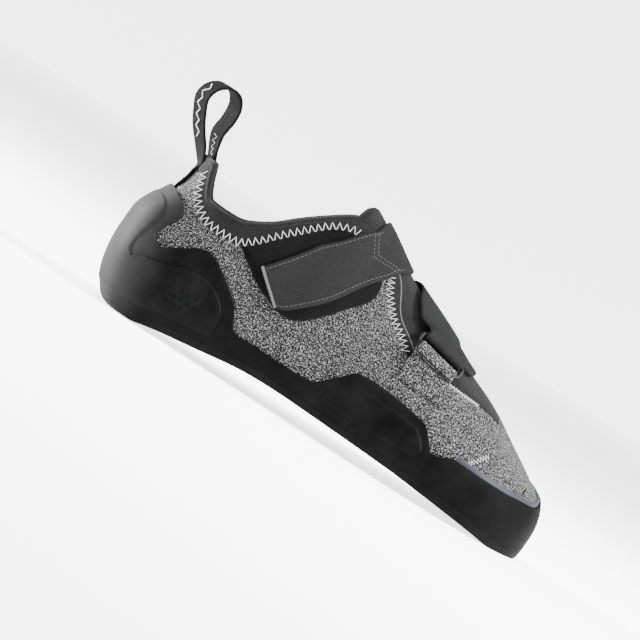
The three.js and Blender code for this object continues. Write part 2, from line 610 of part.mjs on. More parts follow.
// Columns: percent of the length, share of ball width, percent of the instep height, turn in degrees.
const loop_rows = [[6.1, -0.003, 88, 14], [4.6, -0.02, 95.5, 34], [2.9, -0.05, 104, 42], [1.3, -0.08, 112, 42],
  [0.4, -0.09, 119, 42], [1.1, -0.075, 125.5, 42], [3.1, -0.02, 129.6, 42], [5.3, 0.035, 128.6, 42],
  [6.6, 0.07, 123, 42], [7, 0.075, 115, 42], [7.2, 0.07, 107, 40], [8, 0.05, 98, 26]];
function loop_path() {
  const path = [76.8, 79, 81.5, 84].map((z) => [heel_back(z_of(z), outside), 0]);
  for (const [x, y, z, turn] of loop_rows) path.push([new THREE.Vector3(x_of(x), y * ball_width, z_of(z)), turn]);
  return path.concat([90, 84, 78].map((z, i) => [heel_back(z_of(z), inside), i === 0 ? 12 : 0]));
}
function band(path, width, thickness) {
  const positions = [];
  path.forEach(([place, degrees], i) => {
    const before = path[Math.max(i - 1, 0)][0];
    const after = path[Math.min(i + 1, path.length - 1)][0];
    const run = after.clone().sub(before).normalize();
    const turn = THREE.MathUtils.degToRad(degrees);
    const across = new THREE.Vector3(-Math.sin(turn), Math.cos(turn), 0);
    across.addScaledVector(run, -across.dot(run)).normalize();
    const up = run.clone().cross(across);
    for (const [a, b] of [[-1, -1], [1, -1], [1, 1], [-1, 1]]) {
      const corner = place.clone().addScaledVector(across, (a * width) / 2);
      positions.push(...corner.addScaledVector(up, (b * thickness) / 2));
    }
  });
  const index = [0, 2, 1, 0, 3, 2];
  for (let i = 0; i < path.length - 1; i += 1) {
    for (let k = 0; k < 4; k += 1) {
      const [a, b, next] = [i * 4, (i + 1) * 4, (k + 1) % 4];
      index.push(a + k, a + next, b + next, a + k, b + next, b + k);
    }
  }
  const end = (path.length - 1) * 4;
  index.push(end, end + 1, end + 2, end, end + 2, end + 3);
  return closed_body(positions, index);
}
add('pull_loop', band(loop_path(), loop_width, loop_thickness), webbing, 0.95);

export default group;
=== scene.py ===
# %% [markdown]
# # A right climbing shoe
# The shoe is a knit sock on a thin rubber sole, with rubber glued round its heel and toe, a stretch
# tongue, and one length of webbing that folds through two wire rings. The solids of the frame have the
# true form of the last. Here every visible piece is drawn again as a fine surface in the same place,
# because the solids are faceted. All pieces follow one function, the skin of the last, so what is sewn
# or glued together on the real shoe meets here as well.

import math

import bpy
import numpy as np
from mathutils import Matrix, Vector


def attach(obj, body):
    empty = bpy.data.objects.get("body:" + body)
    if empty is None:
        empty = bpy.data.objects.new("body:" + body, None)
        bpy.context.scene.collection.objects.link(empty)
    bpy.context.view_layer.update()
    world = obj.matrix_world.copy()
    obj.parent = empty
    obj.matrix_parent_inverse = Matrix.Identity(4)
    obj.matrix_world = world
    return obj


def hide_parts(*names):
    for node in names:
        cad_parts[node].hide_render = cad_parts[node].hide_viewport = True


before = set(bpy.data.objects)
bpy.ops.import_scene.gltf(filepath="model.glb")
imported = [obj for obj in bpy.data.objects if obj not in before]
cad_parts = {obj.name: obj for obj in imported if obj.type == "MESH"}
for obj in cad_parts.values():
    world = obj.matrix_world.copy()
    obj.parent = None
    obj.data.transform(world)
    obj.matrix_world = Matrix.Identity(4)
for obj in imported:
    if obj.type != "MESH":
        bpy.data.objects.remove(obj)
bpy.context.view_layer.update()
rng = np.random.default_rng(7)

# %% [markdown]
# ## The skin of the last
# A last is described by ribs: each rib starts at the edge of the tread, swells to the belly, the widest
# line of the wall, and ends at the ridge of the instep or at the ankle. A table of fifteen ribs, bent
# smoothly into each other, gives the whole form. The numbers are shares of the shoe's own sizes. One could
# sculpt this form instead, but a table is easy to read against a side view of the shoe.

# %% Sizes and ribs
LENGTH = 271.5
BALL = 95.0
HEEL = 65.0
INSTEP = 100.0
ORIGIN = 24.0
ARCH = 10.1
TUCK = 11.5
BELLY_SHARE = 0.28

COLUMNS = ("wide foot_x foot_out foot_into belly_x out into belly_z "
           "top_x top_y top_half top_z crown flank").split()
WIDTHS = ("foot_out", "foot_into", "out", "into")
RIBS = np.array([
    [HEEL, 6.3, 0, 0, 0, 0, 0, .36, 3.7, 0, 0, 1.25, 1, 1.5],
    [HEEL, 7.4, .17, .17, 2.6, .28, .28, .35, 5.5, 0, .15, 1.25, 1, 1.5],
    [HEEL, 9.6, .26, .26, 7, .415, .415, .33, 9.9, 0, .26, 1.25, 1, 1.5],
    [HEEL, 14.7, .32, .32, 13.6, .49, .49, .3, 17.3, 0, .36, 1.25, 1, 1.5],
    [HEEL, 23.9, .37, .345, 23.6, .5, .49, .27, 27.3, 0, .355, 1.25, 1.05, 1.5],
    [HEEL, 34.6, .415, .325, 34.6, .515, .475, .26, 37.2, 0, .2, 1.24, 1.3, 1.5],
    [BALL, 45.7, .337, .242, 45.7, .39, .34, .25, 45.3, 0, 0, 1.138, 1.8, 1.5],
    [BALL, 56.7, .4, .316, 56.7, .442, .39, .25, 54.1, .01, 0, .988, 1.8, 1.5],
    [BALL, 67.8, .453, .426, 67.8, .479, .474, .24, 63.4, .03, 0, .865, 1.85, 1.55],
    [BALL, 77, .453, .495, 77, .474, .526, .22, 71.8, .06, 0, .75, 1.9, 1.65],
    [BALL, 85.1, .395, .505, 85.1, .411, .532, .2, 79.6, .09, 0, .655, 2, 1.75],
    [BALL, 91.5, .279, .463, 91.7, .295, .484, .18, 85.8, .115, 0, .55, 2, 1.85],
    [BALL, 96.1, .135, .363, 96.5, .147, .379, .16, 90.2, .125, 0, .472, 2, 2],
    [BALL, 98.5, 0, .258, 99.1, 0, .263, .15, 92.1, .13, 0, .432, 2, 2],
    [BALL, 99.3, -.137, .137, 100, -.137, .137, .15, 92.8, .137, 0, .417, 2, 2],
])
TREAD = np.array([
    [0, 0], [6, 0], [11.4, 0], [14.4, .16], [18, .33], [25.4, .6], [32.8, .88], [37, .97], [42, 1],
    [51.2, .94], [62.2, .84], [69.6, .74], [77, .56], [84.3, .34], [88, .2], [91.3, .05], [92.8, 0], [100, 0],
])


def bend(keys, values, at, flat=None):
    """Cubic curve through the rows of a table.

    Between two rows the value eases from one to the other, plus a bend that matches the slope at each
    row. The slope at a row is that of the line from the row before it to the row after it.
    """
    at = np.clip(at, keys[0], keys[-1])
    i = np.clip(np.searchsorted(keys, at, side="left") - 1, 0, len(keys) - 2)
    after = np.minimum(np.arange(len(keys)) + 1, len(keys) - 1)
    before = np.maximum(np.arange(len(keys)) - 1, 0)
    slope = (values[after] - values[before]) / (keys[after] - keys[before])[:, None]
    if flat is not None:
        slope[0, flat] = 0
        slope[-1, flat] = 0
    span = (keys[i + 1] - keys[i])[..., None]
    t = ((at - keys[i]))[..., None] / span
    ease = t * t * (3 - 2 * t)
    low = values[i]
    return low + (values[i + 1] - low) * ease + span * t * (1 - t) * (slope[i] * (1 - t) - slope[i + 1] * t)


def step(t):
    """Soft step: nought below 0, one above 1, and level at both ends."""
    t = np.clip(t, 0, 1)
    return t * t * (3 - 2 * t)


def x_of(percent):
    """Percent of the shoe's length to millimetres along the frame."""
    return np.asarray(percent) / 100 * LENGTH - ORIGIN


def percent_of(x):
    return 100 * (np.asarray(x) + ORIGIN) / LENGTH


def tread_height(x):
    """Height of the tread line over the floor: level under the heel and toes, arched between."""
    at = np.clip(percent_of(x), 0, 100)
    height = np.maximum(bend(TREAD[:, 0], TREAD[:, 1:], at)[..., 0], 0) * ARCH
    return np.where((at <= TREAD[2, 0]) | (at >= TREAD[-2, 0]), 0, height)


RIB_KEYS = np.linspace(0, 1, len(RIBS))
FLAT = np.array([name not in WIDTHS for name in COLUMNS])


def rib_point(s, w):
    """Place on the rib at s. w runs from the outer tread edge, 0, over the ridge, 1, to the inner one, 2.

    Below the belly the rib is a quarter of an ellipse. Above it, the share of the way in to the power
    crown and the share of the way up to the power flank add up to one, so crown rounds the ridge and
    flank fills the wall. Past either end of the shoe, s and w fold over to the other side.
    """
    s, w = np.broadcast_arrays(np.asarray(s, float), np.asarray(w, float))
    past = (s < 0) | (s > 1)
    w = np.where(past, 2 - w, w)
    s = np.where(s < 0, -s, np.where(s > 1, 2 - s, s))
    row = bend(RIB_KEYS, RIBS, s, FLAT)
    c = {name: row[..., k] for k, name in enumerate(COLUMNS)}
    outer = w <= 1
    side = np.where(outer, -1, 1)
    v = np.where(outer, w, 2 - w)
    foot = np.stack([x_of(c["foot_x"]), side * c["wide"] * np.where(outer, c["foot_out"], c["foot_into"])], -1)
    belly = np.stack([x_of(c["belly_x"]), side * c["wide"] * np.where(outer, c["out"], c["into"])], -1)
    half = np.maximum(c["top_half"], 0)
    top = np.stack([x_of(c["top_x"]), c["wide"] * (c["top_y"] + side * half)], -1)
    low = np.sin(np.clip(v / BELLY_SHARE, 0, 1) * math.pi / 2)
    high = np.clip((v - BELLY_SHARE) / (1 - BELLY_SHARE), 0, 1) * math.pi / 2
    inward = 1 - np.maximum(np.cos(high), 0) ** (2 / c["crown"])
    upper = v >= BELLY_SHARE
    plan = np.where(upper[..., None], belly + (top - belly) * inward[..., None],
                    foot + (belly - foot) * low[..., None])
    foot_z = tread_height(foot[..., 0])
    belly_z = INSTEP * c["belly_z"]
    below = foot_z + (belly_z - foot_z) * (1 - np.cos(np.clip(v / BELLY_SHARE, 0, 1) * math.pi / 2))
    above = belly_z + (INSTEP * c["top_z"] - belly_z) * np.sin(high) ** (2 / c["flank"])
    z = np.where(upper, above, below)
    fade = 1 - step((percent_of(plan[..., 0]) - 5) / 20)
    x = plan[..., 0] + TUCK * step((z / INSTEP - 0.5) / 0.32) * fade
    return np.stack([x, plan[..., 1], z], -1)


def skin(s, w, out=0.0):
    """Place on the skin moved out along its own normal, the cross product of the two directions on it."""
    d = 0.004
    along = rib_point(s + d, w) - rib_point(s - d, w)
    up = rib_point(s, np.clip(w + d, 0, 2)) - rib_point(s, np.clip(w - d, 0, 2))
    normal = np.cross(along, up)
    size = np.linalg.norm(normal, axis=-1, keepdims=True)
    normal = np.where(size > 1e-9, normal / (size + 1e-12), [0.0, 0.0, 1.0])
    return rib_point(s, w) + normal * np.asarray(out, float)[..., None]


# A side view of the skin, from which a place drawn from the side finds its rib and height.
chart_s, chart_w = np.meshgrid(np.linspace(0, 1, 211), np.linspace(0, 1, 121), indexing="ij")
chart_xyz = rib_point(chart_s, chart_w)


def from_side(points):
    """Rib and height, s and w, of places drawn in the side view as x, z in millimetres.

    The nearest place of the chart is a first guess, and Newton steps make it exact.
    """
    points = np.asarray(points, float)
    near = ((chart_xyz[None, ..., 0] - points[:, 0, None, None]) ** 2
            + (chart_xyz[None, ..., 2] - points[:, 1, None, None]) ** 2).reshape(len(points), -1).argmin(1)
    s, w = chart_s.ravel()[near], chart_w.ravel()[near]
    d = 1e-4
    for _ in range(6):
        here = rib_point(s, w)[:, ::2]
        ds = (rib_point(np.minimum(s + d, 1), w)[:, ::2] - here) / d
        dw = (rib_point(s, w - d)[:, ::2] - here) / -d
        miss = points - here
        det = ds[:, 0] * dw[:, 1] - ds[:, 1] * dw[:, 0]
        safe = np.where(np.abs(det) < 1e-3, np.inf, det)
        s = np.clip(s + (miss[:, 0] * dw[:, 1] - miss[:, 1] * dw[:, 0]) / safe, 0, 1)
        w = np.clip(w + (miss[:, 1] * ds[:, 0] - miss[:, 0] * ds[:, 1]) / safe, 0.001, 1)
    return np.stack([s, w], -1)


print("skin: heel back", rib_point(0.0, BELLY_SHARE).round(1), "toe tip", rib_point(1.0, BELLY_SHARE).round(1))

# %% [markdown]
# ## Lines, grids and meshes
# Seams and edges are drawn as short tables in the side view, in percent of the length and of the instep
# height. A curve through the rows is laid on the skin. A piece is then a grid of places between two such
# lines, so its mesh has even quads and a map in millimetres for the knit and the webbing.

# %% Lines on the skin
MM = 0.001


def through(rows, count):
    """Smooth curve through the rows: a cubic in each span, sampled evenly by its own length."""
    rows = np.asarray(rows, float)
    keys = np.concatenate([[0], np.cumsum(np.maximum(np.linalg.norm(np.diff(rows, axis=0), axis=1), 1e-9))])
    fine = bend(keys, rows, np.linspace(0, keys[-1], 24 * len(rows)))
    return even(fine, count)


def even(points, count, measure=None):
    """The same line with evenly spaced points, as measured along its places in space."""
    places = points if measure is None else measure
    run = np.concatenate([[0], np.cumsum(np.linalg.norm(np.diff(places, axis=0), axis=1))])
    want = np.linspace(0, run[-1], count)
    return np.stack([np.interp(want, run, points[:, k]) for k in range(points.shape[1])], -1)


def sized(rows):
    rows = np.asarray(rows, float)
    return np.stack([x_of(rows[:, 0]), rows[:, 1] * INSTEP / 100], -1)


def lay(rows, count, outer=True):
    """A side-view table in percent as rib places s, w along a smooth curve on one side of the last."""
    places = from_side(through(sized(rows), count))
    if not outer:
        places[:, 1] = 2 - places[:, 1]
    return places


def rib_height(s, z):
    """w on the outer half of the ribs at s where they reach height z."""
    w = np.linspace(0, 1, 401)
    s, z = np.broadcast_arrays(np.atleast_1d(s), z)
    heights = rib_point(s[:, None], w[None])[..., 2]
    return np.array([np.interp(b, a, w) for a, b in zip(heights, z)])


def sole_w(s, lift=0.0):
    """w of the line where the top face of the outsole meets the skin, lifted by some millimetres."""
    s = np.asarray(s, float)
    folded = np.where(s < 0, -s, np.where(s > 1, 2 - s, s))
    z = np.full(folded.shape, 12.0)
    for _ in range(4):
        w = rib_height(folded, z)
        z = tread_height(rib_point(folded, w)[..., 0]) + SOLE + lift
    return rib_height(folded, z)


SOLE = 4.5
RUBBER = 2.0
GAP = 0.3


def blend_grid(a, b, shares):
    """Grid of places between two lines: rows follow the lines, columns the shares from a, 0, to b, 1."""
    shares = np.asarray(shares, float)
    shares = shares if shares.ndim == 2 else shares[None, :]
    return a[:, None] * (1 - shares[..., None]) + b[:, None] * shares[..., None]


def lengths(points, axis):
    """Distance run along one axis of a grid of places, from its first row."""
    steps = np.linalg.norm(np.diff(points, axis=axis), axis=-1)
    start = np.zeros_like(np.take(steps, [0], axis=axis))
    return np.cumsum(np.concatenate([start, steps], axis=axis), axis=axis)


def map_mm(points):
    """Map of a grid in millimetres: along the middle row, and across each row from its first place."""
    along = lengths(points, 0)[:, points.shape[1] // 2]
    across = lengths(points, 1)
    return np.stack([np.broadcast_to(along[:, None], across.shape), across], -1)


def grid_normals(points, wrap=(False, False)):
    """Unit normals of a grid of places: the cross product of the differences along both axes."""
    def slope(axis):
        if wrap[axis]:
            return np.roll(points, -1, axis) - np.roll(points, 1, axis)
        return np.gradient(points, axis=axis)
    normal = np.cross(slope(0), slope(1))
    return normal / (np.linalg.norm(normal, axis=-1, keepdims=True) + 1e-12)


# %% Meshes from grids
made = {}


def mesh_piece(name, points, quads, uv, look, nodes=(), weld=False, tint=None):
    """Makes one smooth mesh in metres from points and quads in millimetres and books it with the frame."""
    mesh = bpy.data.meshes.new(name)
    mesh.from_pydata((points * MM).tolist(), [], quads.tolist())
    layer = mesh.uv_layers.new(name="mm")
    layer.data.foreach_set("uv", uv.reshape(-1).astype(np.float32))
    if tint is not None:
        mask = mesh.attributes.new("mask", "FLOAT", "POINT")
        mask.data.foreach_set("value", tint.reshape(-1).astype(np.float32))
    mesh.polygons.foreach_set("use_smooth", np.ones(len(mesh.polygons), bool))
    if weld:
        import bmesh
        body = bmesh.new()
        body.from_mesh(mesh)
        bmesh.ops.remove_doubles(body, verts=body.verts, dist=2e-6)
        body.to_mesh(mesh)
        body.free()
    mesh.update()
    piece = bpy.data.objects.new(name, mesh)
    bpy.context.scene.collection.objects.link(piece)
    piece.data.materials.append(look)
    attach(piece, "root")
    if nodes:
        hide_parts(*nodes)
    made[name] = len(mesh.polygons)
    return piece


def grid_quads(rows, columns, wrap_rows=False, wrap_columns=False, flip=False):
    """Quads of a grid of rows times columns, and the grid place of each corner for its map."""
    i = np.arange(rows if wrap_rows else rows - 1)
    j = np.arange(columns if wrap_columns else columns - 1)
    i, j = np.meshgrid(i, j, indexing="ij")
    corners = [(i, j), (i + 1, j), (i + 1, j + 1), (i, j + 1)]
    if flip:
        corners = corners[::-1]
    quads = np.stack([(a % rows) * columns + b % columns for a, b in corners], -1).reshape(-1, 4)
    places = np.stack([np.stack([a, b], -1) for a, b in corners], 2).reshape(-1, 4, 2)
    return quads, places


def grid_piece(name, points, look, nodes=(), wrap=(False, False), flip=False, weld=False, uv=None,
               tint=None, keep=None):
    """A mesh over a grid of places. Its map is in millimetres and runs on past a closed seam."""
    rows, columns = points.shape[:2]
    quads, places = grid_quads(rows, columns, *wrap, flip)
    if uv is None:
        padded = points
        if wrap[0]:
            padded = np.concatenate([padded, padded[:1]], 0)
        if wrap[1]:
            padded = np.concatenate([padded, padded[:, :1]], 1)
        uv = map_mm(padded)
    corner_uv = uv[places[..., 0] % uv.shape[0], places[..., 1] % uv.shape[1]]
    if keep is not None:
        chosen = keep(places)
        quads, corner_uv = quads[chosen], corner_uv[chosen]
    return mesh_piece(name, points.reshape(-1, 3), quads, corner_uv, look, nodes, weld, tint)


def slab(places, top, bottom, roll=6, rounded=None):
    """Grid round a sheet of skin: its outer face, an edge, its inner face and the other edge.

    Each edge is half an ellipse as wide as rounded and as high as half the sheet's thickness. The result
    is closed across, so a piece has a true wall with soft edges.
    """
    rounded = (top - bottom) / 2 if rounded is None else rounded
    outer = skin(places[..., 0], places[..., 1], np.broadcast_to(top, places.shape[:2]))
    inner = skin(places[..., 0], places[..., 1], np.broadcast_to(bottom, places.shape[:2]))
    turn = np.linspace(0, math.pi, roll + 2)[1:-1][None, :, None]

    def edge(a, b, inwards):
        middle = (a + b)[:, None] / 2
        out = (a - b)[:, None] / 2
        away = a - inwards
        away /= np.linalg.norm(away, axis=-1, keepdims=True) + 1e-12
        return middle + out * np.cos(turn) + away[:, None] * rounded * np.sin(turn)

    last = edge(outer[:, -1], inner[:, -1], outer[:, -2])
    first = edge(inner[:, 0], outer[:, 0], inner[:, 1])
    return np.concatenate([outer, last, inner[:, ::-1], first], 1)


def near_edge(length, near, count, rows_near=5):
    """Shares along a column with some rows within the first millimetres, near, and the rest spread evenly."""
    length = np.atleast_1d(length)[:, None]
    close = np.linspace(0, 1, rows_near)[None] * np.minimum(near, 0.45 * length) / length
    start = close[:, -1:]
    rest = start + (1 - start) * np.linspace(0, 1, count - rows_near + 1)[None, 1:]
    return np.concatenate([close, rest], 1)


def dome(distance, radius):
    """Height of a rounded edge as a share: a quarter circle that is level from the radius inwards."""
    return np.sqrt(np.clip(1 - (1 - np.clip(distance / radius, 0, 1)) ** 2, 0, 1))

# %% [markdown]
# ## Materials
# Each look is one principled shader whose inputs are built from noise and waves on the piece's own map in
# millimetres. A small class writes the node tree, so that a look reads like a formula.

# %% A small writer of node trees
class Look:
    """Builds one material: each method adds a node and returns its output."""

    def __init__(self, name, roughness=0.8, sheen=0.0, coat=0.0, coat_roughness=0.3, specular=0.5):
        self.material = bpy.data.materials.new(name)
        self.material.use_nodes = True
        self.tree = self.material.node_tree
        self.shader = self.tree.nodes["Principled BSDF"]
        self.shader.inputs["Roughness"].default_value = roughness
        self.shader.inputs["Sheen Weight"].default_value = sheen
        self.shader.inputs["Coat Weight"].default_value = coat
        self.shader.inputs["Coat Roughness"].default_value = coat_roughness
        self.shader.inputs["Specular IOR Level"].default_value = specular
        self.map = self.add("ShaderNodeUVMap", uv_map="mm").outputs["UV"]
        self.place = self.add("ShaderNodeTexCoord").outputs["Object"]

    def add(self, kind, **settings):
        node = self.tree.nodes.new(kind)
        for key, value in settings.items():
            setattr(node, key, value)
        return node

    def feed(self, socket, value):
        if hasattr(value, "is_output"):
            self.tree.links.new(value, socket)
        else:
            socket.default_value = value

    def math(self, operation, a, b=0.0, c=0.0):
        node = self.add("ShaderNodeMath", operation=operation)
        for socket, value in zip(node.inputs, (a, b, c)):
            self.feed(socket, value)
        return node.outputs[0]

    def noise(self, where, scale, detail=2.0, rough=0.5, distortion=0.0):
        node = self.add("ShaderNodeTexNoise")
        self.feed(node.inputs["Vector"], where)
        for key, value in (("Scale", scale), ("Detail", detail), ("Roughness", rough),
                           ("Distortion", distortion)):
            node.inputs[key].default_value = value
        return node.outputs["Fac"]

    def cells(self, where, scale, feature="F1", randomness=1.0):
        node = self.add("ShaderNodeTexVoronoi", feature=feature)
        self.feed(node.inputs["Vector"], where)
        node.inputs["Scale"].default_value = scale
        node.inputs["Randomness"].default_value = randomness
        return node.outputs

    def scaled(self, where, factors, turn=0.0, shift=(0, 0, 0)):
        node = self.add("ShaderNodeMapping")
        self.feed(node.inputs["Vector"], where)
        node.inputs["Scale"].default_value = factors
        node.inputs["Rotation"].default_value = (0, 0, turn)
        node.inputs["Location"].default_value = shift
        return node.outputs[0]

    def split(self, where):
        node = self.add("ShaderNodeSeparateXYZ")
        self.feed(node.inputs[0], where)
        return node.outputs

    def join(self, x, y, z=0.0):
        node = self.add("ShaderNodeCombineXYZ")
        for socket, value in zip(node.inputs, (x, y, z)):
            self.feed(socket, value)
        return node.outputs[0]

    def span(self, value, low, high, to_low=0.0, to_high=1.0, smooth=False):
        node = self.add("ShaderNodeMapRange", interpolation_type="SMOOTHSTEP" if smooth else "LINEAR")
        for socket, number in zip(node.inputs, (value, low, high, to_low, to_high)):
            self.feed(socket, number)
        return node.outputs[0]

    def mix(self, share, a, b):
        node = self.add("ShaderNodeMix", data_type="RGBA")
        self.feed(node.inputs[0], share)
        self.feed(node.inputs[6], a)
        self.feed(node.inputs[7], b)
        return node.outputs[2]

    def attribute(self, name):
        return self.add("ShaderNodeAttribute", attribute_name=name).outputs["Fac"]

    def wave(self, value, period):
        """Ridge between 0 and 1 that repeats every period: half of one plus the cosine."""
        angle = self.math("MULTIPLY", value, 2 * math.pi / period)
        return self.math("MULTIPLY_ADD", self.math("COSINE", angle), 0.5, 0.5)

    def colour(self, value):
        self.feed(self.shader.inputs["Base Color"], value)
        return self

    def rough(self, value):
        self.feed(self.shader.inputs["Roughness"], value)
        return self

    def bump(self, *layers):
        """Stacks bumps, each a height from 0 to 1 and its depth in millimetres."""
        normal = None
        for height, depth in layers:
            node = self.add("ShaderNodeBump")
            node.inputs["Distance"].default_value = depth * MM
            self.feed(node.inputs["Height"], height)
            if normal is not None:
                self.feed(node.inputs["Normal"], normal)
            normal = node.outputs[0]
        self.feed(self.shader.inputs["Normal"], normal)
        return self


def grey(value, warm=0.0, cool=0.0):
    return (value * (1 + warm), value, value * (1 + cool), 1)


# %% Looks
def rubber_look(name="rubber", dark=0.001, light=0.003):
    """Matt black rubber: fine grain, soft mottling, and a painted highlight, lighter grey towards the back of the heel.
    """
    look = Look(name, roughness=0.6, coat=0.01, coat_roughness=0.4, specular=0.015)
    broad = look.noise(look.place, 60, 4, 0.6)
    fine = look.noise(look.place, 2600, 3, 0.6)
    base_tone = look.mix(look.span(broad, 0.35, 0.7), grey(dark), grey(light, -0.02, 0.03))
    # Painted highlight: lighter grey at the back of the heel, fading out forwards by 12 mm and broken up by noise.
    behind = look.span(look.split(look.place)[0], -0.019, 0.012, 1, 0, smooth=True)
    heel_highlight = look.math("MULTIPLY", behind, look.span(look.noise(look.place, 25, 3), 0.25, 0.65, 0.5, 1))
    look.colour(look.mix(heel_highlight, base_tone, grey(0.022)))
    look.rough(look.span(broad, 0.3, 0.7, 0.55, 0.72))
    look.bump((fine, 0.05), (look.noise(look.place, 240, 3), 0.12))
    return look.material


def knit_look(name, dark, light, balance=0.5, fleck=0.75, rise=0.28):
    """Heather knit: rows of small slanted loops, each yarn with its own grey and with broken flecks.

    The loops lean left and right in turn, so two waves at opposite slants cross. The grey of a loop is
    noise stretched along the slant, cut into light and dark yarns.
    """
    look = Look(name, roughness=0.95, sheen=0.05, specular=0.05)
    u, v = look.split(look.map)[:2]
    lean = look.math("ABSOLUTE", look.math("SUBTRACT", look.math("FRACT", look.math("MULTIPLY", u, 0.55)), 0.5))
    along = look.math("ADD", v, look.math("MULTIPLY", lean, 1.5))
    rows = look.wave(along, 0.75)
    columns = look.wave(u, 0.91)
    loops = look.math("MULTIPLY", rows, look.span(columns, 0, 1, 0.35, 1.0))
    slanted = look.join(look.math("MULTIPLY", u, 1.15), look.math("MULTIPLY", along, 0.95))
    yarn = look.noise(slanted, fleck * 1.9, 2, 0.65, 0.6)
    broken = look.noise(look.scaled(look.map, (2.2, 0.9, 1), 0.9), fleck * 2.6, 2, 0.5)
    tuft = look.math("ADD", look.math("MULTIPLY", yarn, 0.6), look.math("MULTIPLY", broken, 0.4))
    share = look.span(tuft, balance - 0.03, balance + 0.03, smooth=True)
    mottled = look.mix(share, dark, light)
    # Painted shade: the gaps between the loops are mixed towards near black.
    painted_gap_shade = look.span(loops, 0, 0.35, 0.55, 1.0)
    shaded_knit = look.mix(painted_gap_shade, grey(0.008), mottled)
    look.colour(shaded_knit)
    look.bump((loops, rise), (look.noise(look.map, 5.5, 2), 0.12))
    return look.material


def ribbed_look(name="binding", base=0.002, light=0.01):
    """Elastic binding: fine ribs along the tape, flecked where the grey yarn shows."""
    look = Look(name, roughness=0.9, sheen=0.04, specular=0.05)
    u, v = look.split(look.map)[:2]
    ribs = look.wave(v, 0.8)
    knots = look.wave(look.math("ADD", u, look.math("MULTIPLY", v, 0.7)), 0.7)
    fleck = look.noise(look.join(look.math("MULTIPLY", u, 2.2), v), 1.3, 2, 0.6)
    look.colour(look.mix(look.span(fleck, 0.45, 0.62), grey(base), grey(light)))
    look.bump((ribs, 0.2), (knots, 0.12))
    return look.material


def webbing_look(name="webbing", base=0.006, light=0.055):
    """Woven tape: cross ribs with a fine twill."""
    look = Look(name, roughness=0.8, sheen=0.0, specular=0.03)
    u, v = look.split(look.map)[:2]
    warp = look.wave(v, 0.62)
    weft = look.wave(look.math("ADD", u, look.math("MULTIPLY", v, 0.5)), 0.9)
    weave = look.math("MULTIPLY", warp, weft)
    fuzz = look.noise(look.map, 2.4, 3, 0.6)
    # Painted shade: the colour is darker in the grooves of the weave, the same pattern as its bump, with a random grey
    # from the fuzz.
    look.colour(look.mix(look.math("MULTIPLY", look.span(fuzz, 0.35, 0.75), weave), grey(base), grey(light, -.02, .04)))
    look.bump((weave, 0.4), (fuzz, 0.1))
    return look.material


def fleece_look(name="fleece"):
    """Loop pile: dense curls of black yarn that catch a little light."""
    look = Look(name, roughness=1.0, sheen=0.03, specular=0.03)
    curls = look.cells(look.map, 1.6)
    fine = look.noise(look.map, 3.5, 4, 0.7, 0.5)
    pile = look.math("MULTIPLY", curls["Distance"], fine)
    look.colour(look.mix(look.span(fine, 0.4, 0.75), grey(0.001), grey(0.008)))
    look.bump((pile, 0.8), (fine, 0.45))
    return look.material


def plain_look(name, colour, roughness, metallic=0.0, bump=0.0, coat=0.0, specular=0.08):
    look = Look(name, roughness=roughness, coat=coat, specular=specular)
    look.shader.inputs["Metallic"].default_value = metallic
    look.colour(colour)
    if bump:
        look.bump((look.noise(look.place, 1500, 3), bump))
    return look.material


RUBBER_LOOK = rubber_look()
PAD_LOOK = rubber_look("pad_rubber", 0.0012, 0.004)
SOLE_LOOK = rubber_look("sole_rubber", 0.0015, 0.004)
KNIT_LOOK = knit_look("knit", grey(0.001), grey(0.36), 0.57)
DARK_KNIT = knit_look("dark_knit", grey(0.001), grey(0.012), 0.54, rise=0.2)
BINDING_LOOK = ribbed_look()
WEBBING_LOOK = webbing_look()
LOOP_LOOK = webbing_look("loop_tape", 0.002, 0.008)
FLEECE_LOOK = fleece_look()
THREAD_LOOK = plain_look("thread", grey(0.34), 0.85, bump=0.05)
DARK_THREAD = plain_look("dark_thread", grey(0.004), 0.85, bump=0.05)
CORD_LOOK = plain_look("cord", grey(0.06), 0.85, bump=0.05)
WIRE_LOOK = plain_look("wire", grey(0.002), 0.45, bump=0.01, coat=0.02)
RIM_LOOK = plain_look("rim", (0.016, 0.0175, 0.025, 1), 0.5, bump=0.03)
LINING_LOOK = knit_look("lining_knit", grey(0.02), grey(0.09), 0.5)
print("materials:", len(bpy.data.materials))

# %% [markdown]
# ## Sole and upper
# The outsole is one skin: up from the outer side's sole line, under the foot and up the other side. The
# upper is a closed sheet with a real wall, open at the collar and the throat. Its top line follows the
# seams, and in front of the throat the ridge of the last, where both sides are welded.

# %% Outsole
def outsole():
    s = np.concatenate([step(np.linspace(0, 0.16, 60) / 0.32) * 0.32, np.linspace(0.165, 0.84, 180),
                        1 - (step(np.linspace(0.16, 0, 60) / 0.32) * 0.32)])
    w_top = sole_w(s)
    wall = near_edge(np.full(len(s), 6.0), 0.9, 14)
    side_w = w_top[:, None] * (1 - wall)
    s_wall = np.repeat(s[:, None], side_w.shape[1], 1)
    outer = skin(s_wall, side_w, -0.03 * (1 - dome(wall * 6, 0.8)))
    inner = skin(s_wall, 2 - side_w, -0.03 * (1 - dome(wall * 6, 0.8)))
    across = np.linspace(0, 1, 26)[None, 1:-1, None]
    bottom = outer[:, -1:] * (1 - across) + inner[:, -1:] * across
    lid_share = np.linspace(0, 1, 8)[None, 1:-1, None]
    lid = inner[:, :1] * (1 - lid_share) + outer[:, :1] * lid_share
    points = np.concatenate([outer, bottom, inner[:, ::-1], lid], 1)
    return grid_piece("outsole_rubber", points, SOLE_LOOK, ["outsole"], wrap=(False, True),
                      flip=True, weld=True)


outsole()

